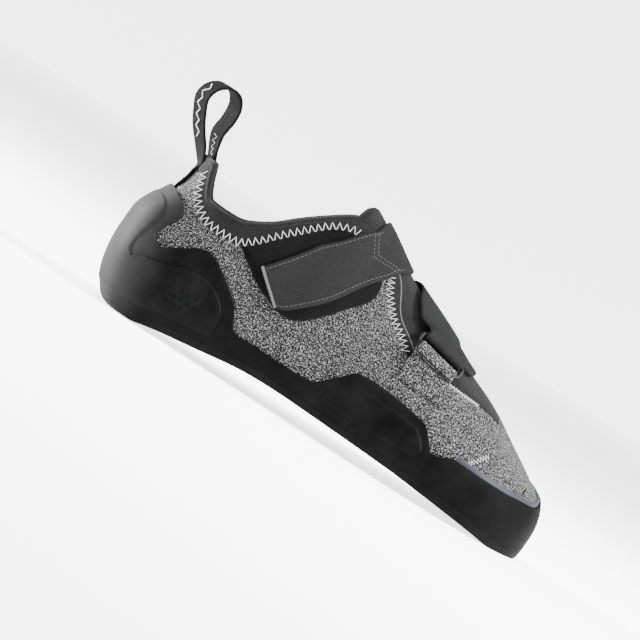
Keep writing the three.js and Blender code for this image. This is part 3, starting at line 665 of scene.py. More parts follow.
# %% Creases of the upper
# Columns: from x, z and to x, z in percent, half width and depth in millimetres (a ridge where negative).
CREASES = [
    [37.5, 44, 47.5, 37, 3.5, 0.9],
    [36, 38.5, 44, 33, 2.6, 0.5],
    [51, 55, 58.5, 47, 3.2, 0.7],
    [28, 57, 33.5, 46, 3, 0.4],
    [69.5, 49, 78, 42, 3, 0.45],
    [76.5, 47, 82.5, 37, 3.2, 0.5],
    [10.5, 52, 20, 56.5, 2.6, 0.35],
    [42, 63, 49, 56, 3, -0.35],
    [60, 47.5, 68, 44.5, 2.2, -0.5],
]


def crease_depth(points):
    """Depth of the soft troughs at some places: a bell round each line that fades to both ends."""
    depth = np.zeros(points.shape[:-1])
    for x0, z0, x1, z1, half, deep in CREASES:
        a, b = sized([[x0, z0], [x1, z1]])
        run = b - a
        flat = points[..., ::2]
        t = np.clip(((flat - a) @ run) / (run @ run), 0, 1)
        away = np.linalg.norm(flat - a - t[..., None] * run, axis=-1)
        depth += deep * np.exp(-(away / half) ** 2) * np.sin(np.clip(t, 0.02, 0.98) * math.pi) ** 0.5
    return depth


# %% Seams of the upper
COLLAR_SEAM = [[8.0, 86.3], [8.45, 82], [9.2, 76], [10.3, 71.5], [12.2, 67.5], [14.4, 65], [16.9, 64.5], [19.9, 64.5],
               [21.7, 65.5], [23.6, 69], [25.4, 73.5], [27.3, 79], [30.9, 88.5], [34.6, 97.5], [37.9, 102],
               [40, 102.5]]
THROAT_SEAM = [[40, 102.5], [43.1, 101.5], [46.8, 98.5], [49.7, 93], [50.8, 86], [52.3, 80.5], [54.1, 75],
               [56.7, 70.5], [59.3, 64], [65, 62.5], [71.5, 62], [77, 61.2], [80.7, 59.7],
               [82.6, 58]]
COLLAR_TOP = [[8.6, 92], [9.1, 88.5], [9.6, 84.5], [10.4, 80], [11.6, 75.2], [13.3, 74], [16.2, 73.3], [19.2, 73.5], [21.7, 76],
              [25.4, 82], [29.1, 90.5], [32.8, 98.5], [36.5, 106], [38.4, 109]]
THROAT_TOP = [[38.4, 109], [41, 107.5], [45, 105.5], [49.5, 99.5], [51.6, 94], [53, 88], [54.1, 82],
              [55.6, 77], [58.5, 71.5], [60.5, 67.5]]


def heel_start(z):
    return np.array([[0.0, rib_height(0.0, z)[0]]])


def toe_end(z):
    return np.array([[1.0, rib_height(1.0, z)[0]]])


def upper_top_line(count):
    """The upper's top line on the outer side: collar seam, throat seam, then the ridge to the toe."""
    collar = np.concatenate([heel_start(87), lay(COLLAR_SEAM, 90)])
    throat = lay(THROAT_SEAM, 120)[1:]
    last_s = throat[-1, 0]
    ridge_s = np.linspace(last_s + 0.004, 1, 60)
    short = (1 - throat[-1, 1]) * np.clip(1 - (ridge_s - last_s) / 0.03, 0, 1) ** 2
    ridge = np.stack([ridge_s, 1 - short], -1)
    line = np.concatenate([collar, throat, ridge])
    line[:, 0] = np.maximum.accumulate(line[:, 0])
    return even(line, count, rib_point(line[:, 0], line[:, 1]))


def upper():
    top = upper_top_line(260)
    s = top[:, 0]
    low = sole_w(s, -1.2)
    rows = near_edge(np.full(len(s), 60.0), 0.5, 90)[:, ::-1] * -1 + 1
    rows = (rows - rows[:, :1]) / (rows[:, -1:] - rows[:, :1])
    outer = blend_grid(np.stack([s, low], -1), top, rows)
    inner = outer.copy()
    inner[..., 1] = 2 - inner[..., 1]
    ring = np.concatenate([outer, inner[-2:0:-1]], 0)
    flat = rib_point(ring[..., 0], ring[..., 1])
    out = -RUBBER - GAP - crease_depth(flat)
    outside = skin(ring[..., 0], ring[..., 1], out)
    inside = skin(ring[..., 0], ring[..., 1], -RUBBER - GAP - 2.0)
    joined = ring[:, -1, 1]
    joined = np.abs(joined - 1) < 1e-6
    points = np.concatenate([outside, inside[:, ::-1]], 1)
    rows_count = ring.shape[1]

    def keep(places):
        i = places[:, 0, 0] % len(ring)
        rim = (places[:, :, 1].min(1) == rows_count - 1)
        return ~(rim & joined[i] & joined[(i + 1) % len(ring)])

    outer_map = map_mm(np.concatenate([outside, outside[:1]], 0))
    inner_map = outer_map[:, ::-1]
    uv = np.concatenate([outer_map, inner_map, outer_map[:, :1]], 1)
    return grid_piece("upper_knit", points, KNIT_LOOK, ["upper"], wrap=(True, True), weld=True,
                      uv=uv, keep=keep)


upper()

# %% [markdown]
# ## Rubber
# Rubber is glued on in plates two millimetres thick. Each plate is a grid from its edge line to a matching
# line, the spine, which lies up the middle of the heel or along the sole. Its height over the upper is a
# quarter circle near the edge, so that every edge is soft.

# %% Plates of rubber
sole_s = np.linspace(0, 1, 500)
sole_x = rib_point(sole_s, sole_w(sole_s, GAP))[:, 0]


JOINT = 0.04


def on_sole(percent, lift=JOINT):
    """Places on the joint of sole and rubber at some percents of the length."""
    s = np.interp(x_of(percent), sole_x, sole_s)
    return np.stack([s, sole_w(s, lift)], -1)


def on_heel(z):
    """Places up the middle of the heel at some heights."""
    z = np.asarray(z, float)
    return np.stack([np.zeros(len(z)), np.array([rib_height(0.0, h)[0] for h in z])], -1)


def matched(rows, count):
    """Edge and spine from a table: edge x and z, then the spine's x on the sole, or its height on the heel.

    A spine height of nought means the sole's joint. Rows are joined by smooth curves, and both lines are
    sampled together, so each edge place keeps its spine place.
    """
    rows = np.asarray(rows, float)
    edge = sized(rows[:, :2])
    keys = np.concatenate([[0], np.cumsum(np.linalg.norm(np.diff(edge, axis=0), axis=1))])
    at = np.linspace(0, keys[-1], count)
    fine = bend(keys, edge, at)
    heel = rows[:, 3] > 0
    spine = np.where(heel[:, None], on_heel(np.maximum(rows[:, 3], 1)), on_sole(rows[:, 2]))
    spine = np.stack([np.interp(at, keys, spine[:, k]) for k in range(2)], -1)
    on_joint = spine[:, 0] > 1e-6
    spine[on_joint, 1] = sole_w(spine[on_joint, 0], JOINT)
    places = from_side(fine)
    return places, spine


def plate_points(edge, spine, count, top, bottom, radius=0.9, foot_radius=0.0, extra=None, ends=0.0):
    """Grid of a plate from its edge to its spine; see the text above for its height."""
    coarse = blend_grid(edge, spine, np.linspace(0, 1, 9))
    length = np.maximum(lengths(rib_point(coarse[..., 0], coarse[..., 1]), 1)[:, -1], 0.02)
    places = blend_grid(edge, spine, near_edge(length, radius, count))
    flat = rib_point(places[..., 0], places[..., 1])
    run = lengths(flat, 1)
    height = dome(run, radius)
    if foot_radius:
        height = np.minimum(height, dome(run[:, -1:] - run, foot_radius))
    if ends:
        side = lengths(flat, 0)
        height = np.minimum(height, dome(np.minimum(side, side[-1:] - side), ends))
    out = bottom + (top - bottom) * height
    if extra is not None:
        out = out + extra(flat) * np.clip(run / radius, 0, 1)
    return places, out


def both_halves(places, out):
    """A plate that lies over the heel: the same grid on both sides, from the inner front to the outer."""
    inner = places[::-1].copy()
    inner[..., 0] *= -1
    return np.concatenate([inner, places]), np.concatenate([out[::-1], out])


def inside_by(points, outline):
    """Distance in the side view from places to a closed outline, positive inside it."""
    flat = points[..., ::2]
    a = sized(outline)
    b = np.roll(a, -1, 0)
    near = np.full(flat.shape[:-1], 1e9)
    inside = np.zeros(flat.shape[:-1], bool)
    for p, q in zip(a, b):
        run = q - p
        t = np.clip(((flat - p) @ run) / (run @ run), 0, 1)
        near = np.minimum(near, np.linalg.norm(flat - p - t[..., None] * run, axis=-1))
        crosses = (p[1] > flat[..., 1]) != (q[1] > flat[..., 1])
        where = p[0] + (flat[..., 1] - p[1]) / np.where(q[1] == p[1], 1e-9, q[1] - p[1]) * run[0]
        inside ^= crosses & (flat[..., 0] < where)
    return np.where(inside, near, -near)


# Columns: edge x, edge z, spine x on the sole, spine height on the heel (nought: on the sole).
HEEL_CUP = [
    [4.2, 71.4, 0, 71.2], [6.2, 70, 0, 69], [7.4, 67.8, 0, 66.5], [8.6, 65.3, 0, 63.5], [9.3, 62, 0, 60],
    [8.9, 57, 0, 55], [7.8, 52, 0, 50], [7.1, 48, 0, 46], [7, 45, 0, 42], [7.7, 42.6, 0, 37], [9, 41.5, 0, 31],
    [10.6, 42.8, 0, 24], [12.4, 45.6, 0, 16], [14.6, 49.8, 0, 9], [16.2, 52, 11, 0], [18, 52.7, 14, 0],
    [19.8, 50.8, 17, 0], [21.8, 47.3, 20, 0], [23.8, 43.5, 23, 0], [25.9, 39.2, 25.4, 0], [27.2, 36, 26.8, 0],
    [28, 32, 27.9, 0], [28.7, 28, 28.8, 0], [29.5, 25.3, 29.6, 0], [30.6, 24, 30.6, 0],
]
HEEL_SHELL = [
    [4.3, 64, 0, 63.8], [5.6, 62, 0, 61], [6.1, 58, 0, 57], [6, 53, 0, 52.5], [5.6, 48, 0, 48], [4.9, 42, 0, 43],
    [4.5, 36, 0, 38], [4.8, 31.5, 0, 33], [6, 29, 0, 26], [7.8, 29.6, 0, 21], [10, 32.3, 0, 15.5],
    [12.6, 35.8, 0, 11.5], [16, 38.8, 12, 0], [20, 39.8, 17, 0], [23, 36.6, 21, 0], [25, 32, 24, 0],
    [26, 27, 25.4, 0], [26.2, 22, 26.2, 0],
]


def heel_cup():
    edge, spine = matched(HEEL_CUP, 300)
    places, out = both_halves(*plate_points(edge, spine, 60, 0, -RUBBER - GAP, 1.1, 0.0))
    return grid_piece("heel_rubber", skin(places[..., 0], places[..., 1], out), RUBBER_LOOK,
                      ["heel_cup"], flip=True, weld=True)


# The heel pad carries a field of small dimples, three rows in a rhombus, as plain grip.
DIMPLES = dict(middle=(18.4, 24.5), pitch=4.2, rows=3, columns=4, radius=1.15, deep=0.45)


def dimple_depth(flat):
    depth = np.zeros(flat.shape[:-1])
    cx, cz = sized([DIMPLES["middle"]])[0]
    for row in range(DIMPLES["rows"]):
        for column in range(DIMPLES["columns"]):
            x = cx + (column - 1.5 + 0.5 * (row - 1)) * DIMPLES["pitch"]
            z = cz + (row - 1) * DIMPLES["pitch"] * 0.87
            away = np.hypot(flat[..., 0] - x, flat[..., 2] - z)
            depth += DIMPLES["deep"] * step(1.5 - away / DIMPLES["radius"])
    return depth


def heel_shell():
    edge, spine = matched(HEEL_SHELL, 260)
    low = spine[:, 0] < 1e-6
    spine[~low, 1] = sole_w(spine[~low, 0], 4.8)
    places, out = both_halves(*plate_points(edge, spine, 110, 0.75, -0.1, 2.2, 6.0,
                                            lambda flat: -dimple_depth(flat)))
    return grid_piece("heel_pad", skin(places[..., 0], places[..., 1], out), PAD_LOOK,
                      ["heel_shell"], flip=True, weld=True)


SIDE_PAD = [[47.4, 24.6], [48.6, 28], [49.9, 31.6], [51.2, 35], [52.4, 38.6], [53.8, 41.3], [56.7, 42.3],
            [60, 42], [64, 41], [67.2, 39.4], [69.3, 38.4], [70.6, 35.6], [71.8, 32], [72.6, 29], [73.3, 27]]
PAD_PANEL = [[50.1, 22], [51.4, 29], [53.4, 34], [56.2, 35.7], [62.2, 35.4], [68.4, 34.1], [70.2, 30.5],
             [71.6, 25.2], [70.4, 20.5], [60, 18.6], [51.4, 19.6]]
TOE_EDGE = [[73.3, 26.8], [75, 27.8], [76.4, 29.2], [77.5, 30.6], [80, 30.6], [84.3, 30], [89.9, 29.5],
            [94, 29.8], [100, 29.8]]
ARCH_TOP = 23.8


def side_plate(name, rows, look, node, inner=False, extra=None, count=60, length=160):
    edge = from_side(through(sized(rows), length))
    spine = on_sole(percent_of(through(sized(rows), length)[:, 0]))
    places, out = plate_points(edge, spine, count, 0, -RUBBER - GAP, 1.1, 0.0, extra)
    if inner:
        places = places.copy()
        places[..., 1] = 2 - places[..., 1]
    return grid_piece(name, skin(places[..., 0], places[..., 1], out), look, [node],
                      flip=not inner)


def panel_rise(flat):
    """The raised panel of the side pad: a bevel a millimetre and a half wide."""
    return 0.55 * step(inside_by(flat, PAD_PANEL) / 1.5 + 0.2)


heel_cup()
heel_shell()
for side in ("outer", "inner"):
    arch = [[30.6, ARCH_TOP], [36, ARCH_TOP], [42, ARCH_TOP], [47.4, ARCH_TOP + 0.8]]
    side_plate(f"arch_rubber_{side}", arch, RUBBER_LOOK, f"arch_band_{side}", side == "inner", length=80, count=30)
    side_plate(f"pad_rubber_{side}", SIDE_PAD, PAD_LOOK, f"side_pad_{side}", side == "inner",
               panel_rise, 90, 200)


# %% Toe
def toe_places(lift, count=260, start=73.3):
    """The toe rand's upper edge from the outer side round the toe to the inner side, lifted by lift.

    Its height over the floor climbs towards the big toe's side by a soft step across the shoe.
    """
    edge_x = through(sized(TOE_EDGE), 200)
    first = np.interp(x_of(start), sole_x, sole_s)
    s = np.concatenate([np.linspace(first, 0.93, count // 3), np.linspace(0.93, 1.07, count // 3)[1:-1],
                        np.linspace(1.07, 2 - first, count // 3)])
    folded = np.where(s > 1, 2 - s, s)
    z = np.full(len(s), 30.0)
    for _ in range(8):
        w = rib_height(folded, z)
        place = rib_point(s, w)
        forward = np.clip((percent_of(place[:, 0]) - 76) / 17, 0, 1)
        across = step((place[:, 1] + 0.1 * BALL) / (0.4 * BALL))
        z = np.interp(place[:, 0], edge_x[:, 0], edge_x[:, 1]) + lift + 0.08 * INSTEP * across * forward
    return np.stack([s, w], -1)


def toe_rand():
    edge = toe_places(0)
    spine = np.stack([edge[:, 0], sole_w(edge[:, 0], JOINT)], -1)
    places, out = plate_points(edge, spine, 60, 0, -RUBBER - GAP, 1.1, 0.0)
    grid_piece("toe_rubber", skin(places[..., 0], places[..., 1], out), RUBBER_LOOK,
               ["toe_rand"], flip=True)


def toe_rim():
    """The rim over the toe: a lip of rubber, coloured a lighter and bluer grey than the rand, between the rand and the
    knit.
    """
    low = toe_places(-0.4, start=77.2)
    high = toe_places(2.5, start=77.2)
    places = blend_grid(low, high, np.linspace(0, 1, 14))
    run = np.linspace(0, 1, 14)[None]
    out = -RUBBER - GAP + 1.5 * dome((1 - run) * 2.9, 1.2) * dome(run * 2.9 + 0.6, 0.8)
    taper = np.minimum(np.arange(len(low)), np.arange(len(low))[::-1])[:, None] / 22
    out = -RUBBER - GAP - 0.1 + (out + RUBBER + GAP + 0.1) * step(taper)
    grid_piece("toe_rim", skin(places[..., 0], places[..., 1], out), RIM_LOOK)


toe_rand()
toe_rim()

# %% [markdown]
# ## Knit edges, tongue and patch
# The collar has a ribbed elastic with a rolled top, the throat has the same tape on both sides, and the
# tongue with its insert fills what is open in between. The last is drawn to the ridge on one side and
# mirrored, since the side view of the shoe shows both halves of these pieces in one outline.

# %% Sheets of cloth
ridge_s = np.linspace(0.35, 1, 400)
ridge_x = rib_point(ridge_s, 1.0)[:, 0]


def on_ridge(percent):
    s = np.interp(x_of(percent), ridge_x, ridge_s)
    return np.stack([s, np.ones_like(s)], -1)


def route(rows, count):
    """A line over the ridge: rows of x, z in percent and side, -1 outer, 0 on the ridge, 1 inner.

    Rows are joined by a cubic in s and w, keyed by their distance in space and then sampled evenly.
    """
    rows = np.asarray(rows, float)
    places = from_side(sized(rows[:, :2]))
    places[rows[:, 2] == 0] = on_ridge(rows[rows[:, 2] == 0, 0])
    places[rows[:, 2] > 0, 1] = 2 - places[rows[:, 2] > 0, 1]
    solid = rib_point(places[:, 0], places[:, 1])
    keys = np.concatenate([[0], np.cumsum(np.linalg.norm(np.diff(solid, axis=0), axis=1))])
    fine = bend(keys, places, np.linspace(0, keys[-1], 30 * len(rows)))
    return even(fine, count, rib_point(fine[:, 0], fine[:, 1]))


def mirror_heel(places):
    """Adds the inner half of a grid that starts at the middle of the heel."""
    inner = places[:0:-1].copy()
    inner[..., 0] *= -1
    return np.concatenate([inner, places])


def tube(name, path, radius, look, sides=12, closed=False, nodes=(), flat=1.0, up=None):
    """A round bar along a path: circles square to it, carried without twist from the given up vector."""
    run = np.gradient(path, axis=0) if not closed else np.roll(path, -1, 0) - np.roll(path, 1, 0)
    run /= np.linalg.norm(run, axis=1, keepdims=True)
    up = np.broadcast_to(np.array([0, 0, 1.0]) if up is None else up, path.shape)
    side = np.cross(run, up)
    side /= np.linalg.norm(side, axis=1, keepdims=True) + 1e-12
    lift = np.cross(side, run)
    turn = np.linspace(0, 2 * math.pi, sides, endpoint=False)[None, :, None]
    radius = np.broadcast_to(radius, len(path))[:, None, None]
    points = path[:, None] + radius * (side[:, None] * np.cos(turn) + lift[:, None] * np.sin(turn) * flat)
    return grid_piece(name, points, look, nodes, wrap=(closed, True), flip=True)


def collar():
    seam = np.concatenate([heel_start(86), lay([[x, z - 1.2] for x, z in COLLAR_SEAM], 150)])
    top = np.concatenate([heel_start(93), lay(COLLAR_TOP, 150)])
    seam[0, 0] = top[0, 0] = 0
    seam = even(seam, 220, rib_point(seam[:, 0], seam[:, 1]))
    top = even(top, 220, rib_point(top[:, 0], top[:, 1]))
    places = mirror_heel(blend_grid(seam, top, np.linspace(0, 1, 24)))
    points = slab(places, -RUBBER + 0.15, -RUBBER - GAP - 2, rounded=0.8)
    grid_piece("collar_elastic", points, BINDING_LOOK, ["collar_binding"], wrap=(False, True))
    edge = places[:, -1]
    path = skin(edge[:, 0], edge[:, 1], -RUBBER - 1.05)
    tube("collar_roll", path, 1.75, DARK_KNIT, 14)


def throat_tapes():
    seam = lay([[38.6, 102]] + [[x + 0.2, z - 0.6] for x, z in THROAT_SEAM[:9]], 130)
    top = lay(THROAT_TOP, 130)
    places = blend_grid(seam, top, np.linspace(0, 1, 12))
    for side in ("outer", "inner"):
        at = places.copy()
        if side == "inner":
            at[..., 1] = 2 - at[..., 1]
        points = slab(at, -RUBBER + 0.1, -RUBBER - 1.3, rounded=0.6)
        grid_piece(f"throat_elastic_{side}", points, BINDING_LOOK, [f"throat_tape_{side}"],
                   wrap=(False, True), flip=side == "inner")


# Columns: edge x and z on the side, then the matching x on the ridge.
TONGUE = [
    [41, 119.3, 41.1], [40, 118.3, 41.5], [39.2, 115, 42.2], [38.6, 110.5, 43.2], [38.6, 105, 44.6],
    [40, 100.6, 46.4], [43.1, 99.3, 48], [46.3, 96, 49.6], [48.6, 92, 51.2], [49.8, 86, 53], [51.2, 80.3, 54.8],
    [53, 74.6, 56.6], [55.4, 69.6, 58.6], [58.2, 63.8, 61.4], [62, 62.3, 64.5], [66, 61.9, 68], [71.5, 61.4, 72.5],
    [76.5, 60.4, 77], [80.7, 59.2, 81.4], [83.2, 57.2, 83.8], [84.6, 55.6, 85.2],
]


def tongue():
    rows = np.array(TONGUE)
    edge_xz = sized(rows[:, :2])
    keys = np.concatenate([[0], np.cumsum(np.linalg.norm(np.diff(edge_xz, axis=0), axis=1))])
    at = np.linspace(0, keys[-1], 260)
    edge = from_side(bend(keys, edge_xz, at))
    edge[0] = on_ridge(rows[0, 2])
    ridge = on_ridge(np.interp(at, keys, rows[:, 2]))
    half = blend_grid(edge, ridge, step(np.linspace(0, 0.5, 30)) * 2)
    other = half[:, -2::-1].copy()
    other[..., 1] = 2 - other[..., 1]
    places = np.concatenate([half, other], 1)
    run = lengths(rib_point(places[..., 0], places[..., 1]), 1)
    inwards = np.minimum(run, run[:, -1:] - run)
    top = -RUBBER - 1.6 + 1.2 * step(inwards / 9)
    points = slab(places, top, top - 1.8, rounded=0.5)
    return grid_piece("tongue_knit", points, DARK_KNIT, ["tongue"], wrap=(False, True))


PATCH_BACK = [[22.1, 64], [23.6, 67.2], [25.4, 71.8], [27.3, 77.3], [30.9, 86.8], [34.6, 95.8], [37.9, 100.3],
              [40.4, 100.8]]
PATCH_FRONT = [[22.1, 64], [25.3, 57.5], [29.1, 51], [31.6, 48], [34.3, 45.6], [37.4, 45.6], [40.1, 50], [42, 54.5],
               [43.8, 60], [45.7, 66.5], [47.5, 72], [49, 79], [48.6, 88], [46.2, 94.5], [43.2, 99], [40.4, 100.8]]


def loop_patch():
    places = blend_grid(lay(PATCH_BACK, 200), lay(PATCH_FRONT, 200), np.linspace(0, 1, 80))
    run = lengths(rib_point(places[..., 0], places[..., 1]), 1)
    inwards = np.minimum(run, run[:, -1:] - run)
    out = -RUBBER - GAP + 1.15 * dome(inwards, 1.0)
    out = out + 0.12 * rng.standard_normal(out.shape) * np.clip(inwards, 0, 1)
    return grid_piece("loop_pile", skin(places[..., 0], places[..., 1], out), FLEECE_LOOK,
                      ["loop_patch"], flip=True)


def insole():
    s = np.linspace(0.015, 0.985, 150)
    w = sole_w(s, 1.3)
    outer = skin(s, w, -5.0)
    inner = skin(s, 2 - w, -5.0)
    share = np.linspace(0, 1, 20)[None, :, None]
    sheet = outer[:, None] * (1 - share) + inner[:, None] * share
    edge = np.minimum(share, 1 - share)[..., 0] * 20
    top = sheet + np.array([0, 0, 1.0]) * dome(edge + 0.02, 1.0)[..., None]
    low = sheet - np.array([0, 0, 0.9])
    points = np.concatenate([top, low[:, ::-1]], 1)
    return grid_piece("insole_sheet", points, LINING_LOOK, ["insole"], wrap=(False, True), flip=False)


collar()
throat_tapes()
tongue()
loop_patch()
insole()

# %% [markdown]
# ## Strap, rings and tabs
# One length of webbing starts inside the forefoot, folds through the outer ring, crosses the instep,
# folds through the inner ring and comes back over itself to the pile. Each leg is a grid on the skin at
# its own height, each fold a half circle round a bar. The whole strap is then one closed ribbon.

# %% Rings
STRAP_WIDTH = 25.0
WIRE = 2.4
PITCH = 8.5
PLAY = 1.6
RING_LIFT = 1.3
CLOTH = 1.8
BEND_RADIUS = WIRE / 2 + 0.15 + CLOTH / 2
RINGS = {"outer": ([65.2, 70.3], -9.5, -1), "inner": ([42.7, 68.5], -50.0, 1)}


def seat(name):
    """A ring's own axes on the last: its middle, along its bars, across them, and out from the foot."""
    middle, turn, side = RINGS[name]
    s, w = from_side(sized([middle]))[0]
    w = w if side < 0 else 2 - w
    place = skin(s, w, RING_LIFT)
    out = skin(s, w, RING_LIFT + 1) - place
    out /= np.linalg.norm(out)
    bar = np.array([math.cos(math.radians(turn)), 0, math.sin(math.radians(turn))])
    bar -= out * (bar @ out)
    bar /= np.linalg.norm(bar)
    across = np.cross(out, bar)
    across *= np.sign(across[2])
    return dict(place=place, bar=bar, across=across, out=out)


SEATS = {name: seat(name) for name in RINGS}


def ring(name):
    at = SEATS[name]
    half = STRAP_WIDTH / 2 + PLAY
    corner = 2.6
    path = []
    for a, b, start in ((1, 1, 0), (-1, 1, 90), (-1, -1, 180), (1, -1, 270)):
        for turn in np.radians(start + np.linspace(0, 90, 10)):
            along = a * (half - corner) + corner * math.cos(turn)
            across = b * (PITCH / 2 - corner) + corner * math.sin(turn)
            path.append(at["place"] + at["bar"] * along + at["across"] * across)
    path = np.array(path)
    path = even(np.concatenate([path, path[:1]]), 121)[:-1]
    return tube(f"wire_ring_{name}", path, WIRE / 2, WIRE_LOOK, 14, True, [f"ring_{name}"], up=at["out"])


# %% Ribbons
def ribbon_solid(points, half, ends=0.8):
    """A closed ribbon round a sheet of places: both faces at half its thickness, with round edges."""
    normal = grid_normals(points)
    across = lengths(points, 1)
    along = lengths(points, 0)
    inwards = np.minimum(across, across[:, -1:] - across)
    from_end = np.minimum(along, along[-1:] - along)
    height = half * dome(inwards + 0.05, half) * dome(from_end + 0.02, ends)
    over = points + normal * height[..., None]
    under = points - normal * height[..., None]
    return np.concatenate([over, under[:, ::-1]], 1)


def ribbon_map(points, width):
    """Map of a ribbon: along its middle, and across from 0 to its width, the same on both faces."""
    along = lengths(points, 0)[:, points.shape[1] // 2]
    across = np.linspace(0, width, points.shape[1])
    across = np.concatenate([across, across[::-1], across[:1]])
    return np.stack(np.broadcast_arrays(along[:, None], across[None]), -1)


def ribbon_piece(name, points, width, thickness, look, nodes=(), edges=()):
    return grid_piece(name, ribbon_solid(points, thickness / 2), look, nodes, wrap=(False, True),
                      uv=ribbon_map(points, width), flip=False)


# Edges of each leg as x, z and side; A is the edge towards the heel. Heights are shares of the leg's run and
# the middle of the cloth over the rubber's own face, in millimetres.
LEGS = [
    dict(a=[[56.2, 45, 1], [58.6, 62, 1], [61.5, 76, 1], [64.3, 0, 0], [63, 81.3, -1], [60.9, 76.6, -1]],
         b=[[66.2, 42, 1], [69, 56, 1], [71.4, 65, 1], [73.2, 0, 0], [72.5, 70, -1], [70, 72.2, -1]],
         out=[[0, -1.6], [0.08, -1.2], [0.6, -0.9], [1, -0.5]]),
    dict(a=[[60.9, 76.6, -1], [58.9, 80.2, -1], [57.5, 85.6, -1], [56.3, 91, -1], [55.2, 0, 0], [52.3, 93.5, 1],
            [48.3, 89, 1], [44.2, 84.5, 1], [41, 81.3, 1]],
         b=[[70, 72.2, -1], [68.8, 75.6, -1], [66, 0, 0], [63, 80, 1], [59.3, 74.5, 1], [54.9, 69, 1], [50.5, 65, 1],
            [46.9, 62.2, 1]],
         out=[[0, 2.4], [0.12, 1.1], [0.3, 0.4], [0.42, -0.3], [0.55, -1], [0.8, -1.2],
              [1, -1]]),
    dict(a=[[41, 81.3, 1], [42.2, 92, 1], [43.2, 104, 1], [43.9, 0, 0], [43, 109.6, -1], [42, 107, -1],
            [38.3, 96, -1], [36.5, 91, -1], [34.6, 86, -1], [32.8, 79, -1], [30.9, 72, -1], [29.1, 66, -1],
            [27.6, 61.2, -1]],
         b=[[46.9, 62.2, 1], [48.4, 72, 1], [50.6, 84, 1], [52.3, 93.5, 1], [53.1, 0, 0], [52.2, 98.6, -1],
            [50.5, 95.5, -1], [49.4, 91, -1], [47.5, 85.3, -1], [45.7, 79, -1], [43.8, 71, -1], [42, 64.3, -1],
            [40.1, 58.7, -1], [37.2, 51.3, -1], [35.3, 47.3, -1], [33.9, 46.6, -1]],
         out=[[0, 3.6], [0.1, 2], [0.25, 0.2], [0.36, -1.1], [0.5, -1.2], [0.62, -0.5], [0.8, 0.1], [1, 0.2]]),
]
COLUMNS_ACROSS = 30


def fold_rows(at, half_pitch, towards, reach=0.0, turns=9):
    """Half a circle round a bar, from under it to over it, on the side away from where the cloth comes."""
    centre = at["place"] + at["across"] * half_pitch
    share = np.linspace(-0.5, 0.5, COLUMNS_ACROSS)[None, :, None]
    rows = []
    for turn in np.linspace(0, math.pi, turns + 2)[1:-1]:
        along = -towards * BEND_RADIUS * math.sin(turn)
        lift = -BEND_RADIUS * math.cos(turn)
        rows.append(centre + at["across"] * along + at["out"] * lift)
    return np.array(rows)[:, None] + at["bar"] * share * STRAP_WIDTH


def ease_to_bar(points, at, half_pitch, towards, lift, at_start):
    """Draws the last rows of a leg straight to a bar: under it or over it by the fold's radius."""
    points = points if at_start else points[::-1]
    run = lengths(points, 0).mean(1)
    share = np.linspace(-0.5, 0.5, COLUMNS_ACROSS)[None, :, None]
    centre = at["place"] + at["across"] * half_pitch + at["out"] * lift * BEND_RADIUS
    straight = centre + at["across"] * (towards * run)[:, None, None] + at["bar"] * share * STRAP_WIDTH
    weight = step(1 - run / 11)[:, None, None]
    eased = points * (1 - weight) + straight * weight
    return eased if at_start else eased[::-1]


def leg_points(leg, count):
    a, b = route(leg["a"], count), route(leg["b"], count)
    places = blend_grid(a, b, np.linspace(0, 1, COLUMNS_ACROSS))
    table = np.array(leg["out"], float)
    out = bend(table[:, 0], table[:, 1:], np.linspace(0, 1, count))[:, 0]
    return skin(places[..., 0], places[..., 1], np.broadcast_to(out[:, None], places.shape[:2]))


def strap():
    outer, inner = SEATS["outer"], SEATS["inner"]
    half = PITCH / 2
    one = ease_to_bar(leg_points(LEGS[0], 90), outer, half, 1, -1, False)
    two = ease_to_bar(leg_points(LEGS[1], 130), outer, half, 1, 1, True)
    two = ease_to_bar(two, inner, half, 1, -1, False)
    three = ease_to_bar(leg_points(LEGS[2], 190), inner, half, 1, 1, True)
    points = np.concatenate([one[:-1], fold_rows(outer, half, 1), two[1:-1], fold_rows(inner, half, 1), three[1:]])
    ribbon_piece("strap_webbing", points, STRAP_WIDTH, CLOTH, WEBBING_LOOK, ["strap"])
    return points, (len(one), len(two), len(three))


TABS = {
    "outer": ([[60.6, 67.8, -1], [60.3, 60, -1], [60.2, 50.6, -1]], [[69.6, 63.8, -1], [69.9, 58, -1], [69.9, 50, -1]]),
    "inner": ([[38.2, 74, 1], [36, 69, 1], [33.5, 63.2, 1]], [[44.2, 56, 1], [42.6, 51.5, 1], [41, 46.6, 1]]),
}


def tab(name):
    at = SEATS[name]
    a, b = TABS[name]
    a, b = route(a, 60), route(b, 60)
    places = blend_grid(a, b, np.linspace(0, 1, COLUMNS_ACROSS))
    out = np.interp(np.linspace(0, 1, 60), [0, 0.3, 0.55, 1], [2.2, 0.4, -0.7, -1.9])
    leg = skin(places[..., 0], places[..., 1], np.broadcast_to(out[:, None], places.shape[:2]))
    leg = ease_to_bar(leg, at, -PITCH / 2, -1, 1, True)
    fold = fold_rows(at, -PITCH / 2, -1)
    share = np.linspace(-0.5, 0.5, COLUMNS_ACROSS)[None, :, None]
    centre = at["place"] - at["across"] * PITCH / 2 - at["out"] * BEND_RADIUS
    under = centre - at["across"] * np.linspace(5, 0.3, 6)[:, None, None] + at["bar"] * share * STRAP_WIDTH
    points = np.concatenate([under, fold, leg[1:]])
    ribbon_piece(f"tab_{name}", points, STRAP_WIDTH, CLOTH, KNIT_LOOK, [f"ring_tab_{name}"])
    return points


for name in RINGS:
    ring(name)
strap_points, strap_parts = strap()
tab_points = {name: tab(name) for name in RINGS}

# %% [markdown]
# ## Pull loop
# A woven tape stands up from the back of the heel, turns to the side at its top and goes down into the
# collar. Its middle line is a short table, as in the frame.

# %% Loop
LOOP_WIDTH = 12.0
LOOP_CLOTH = 1.6
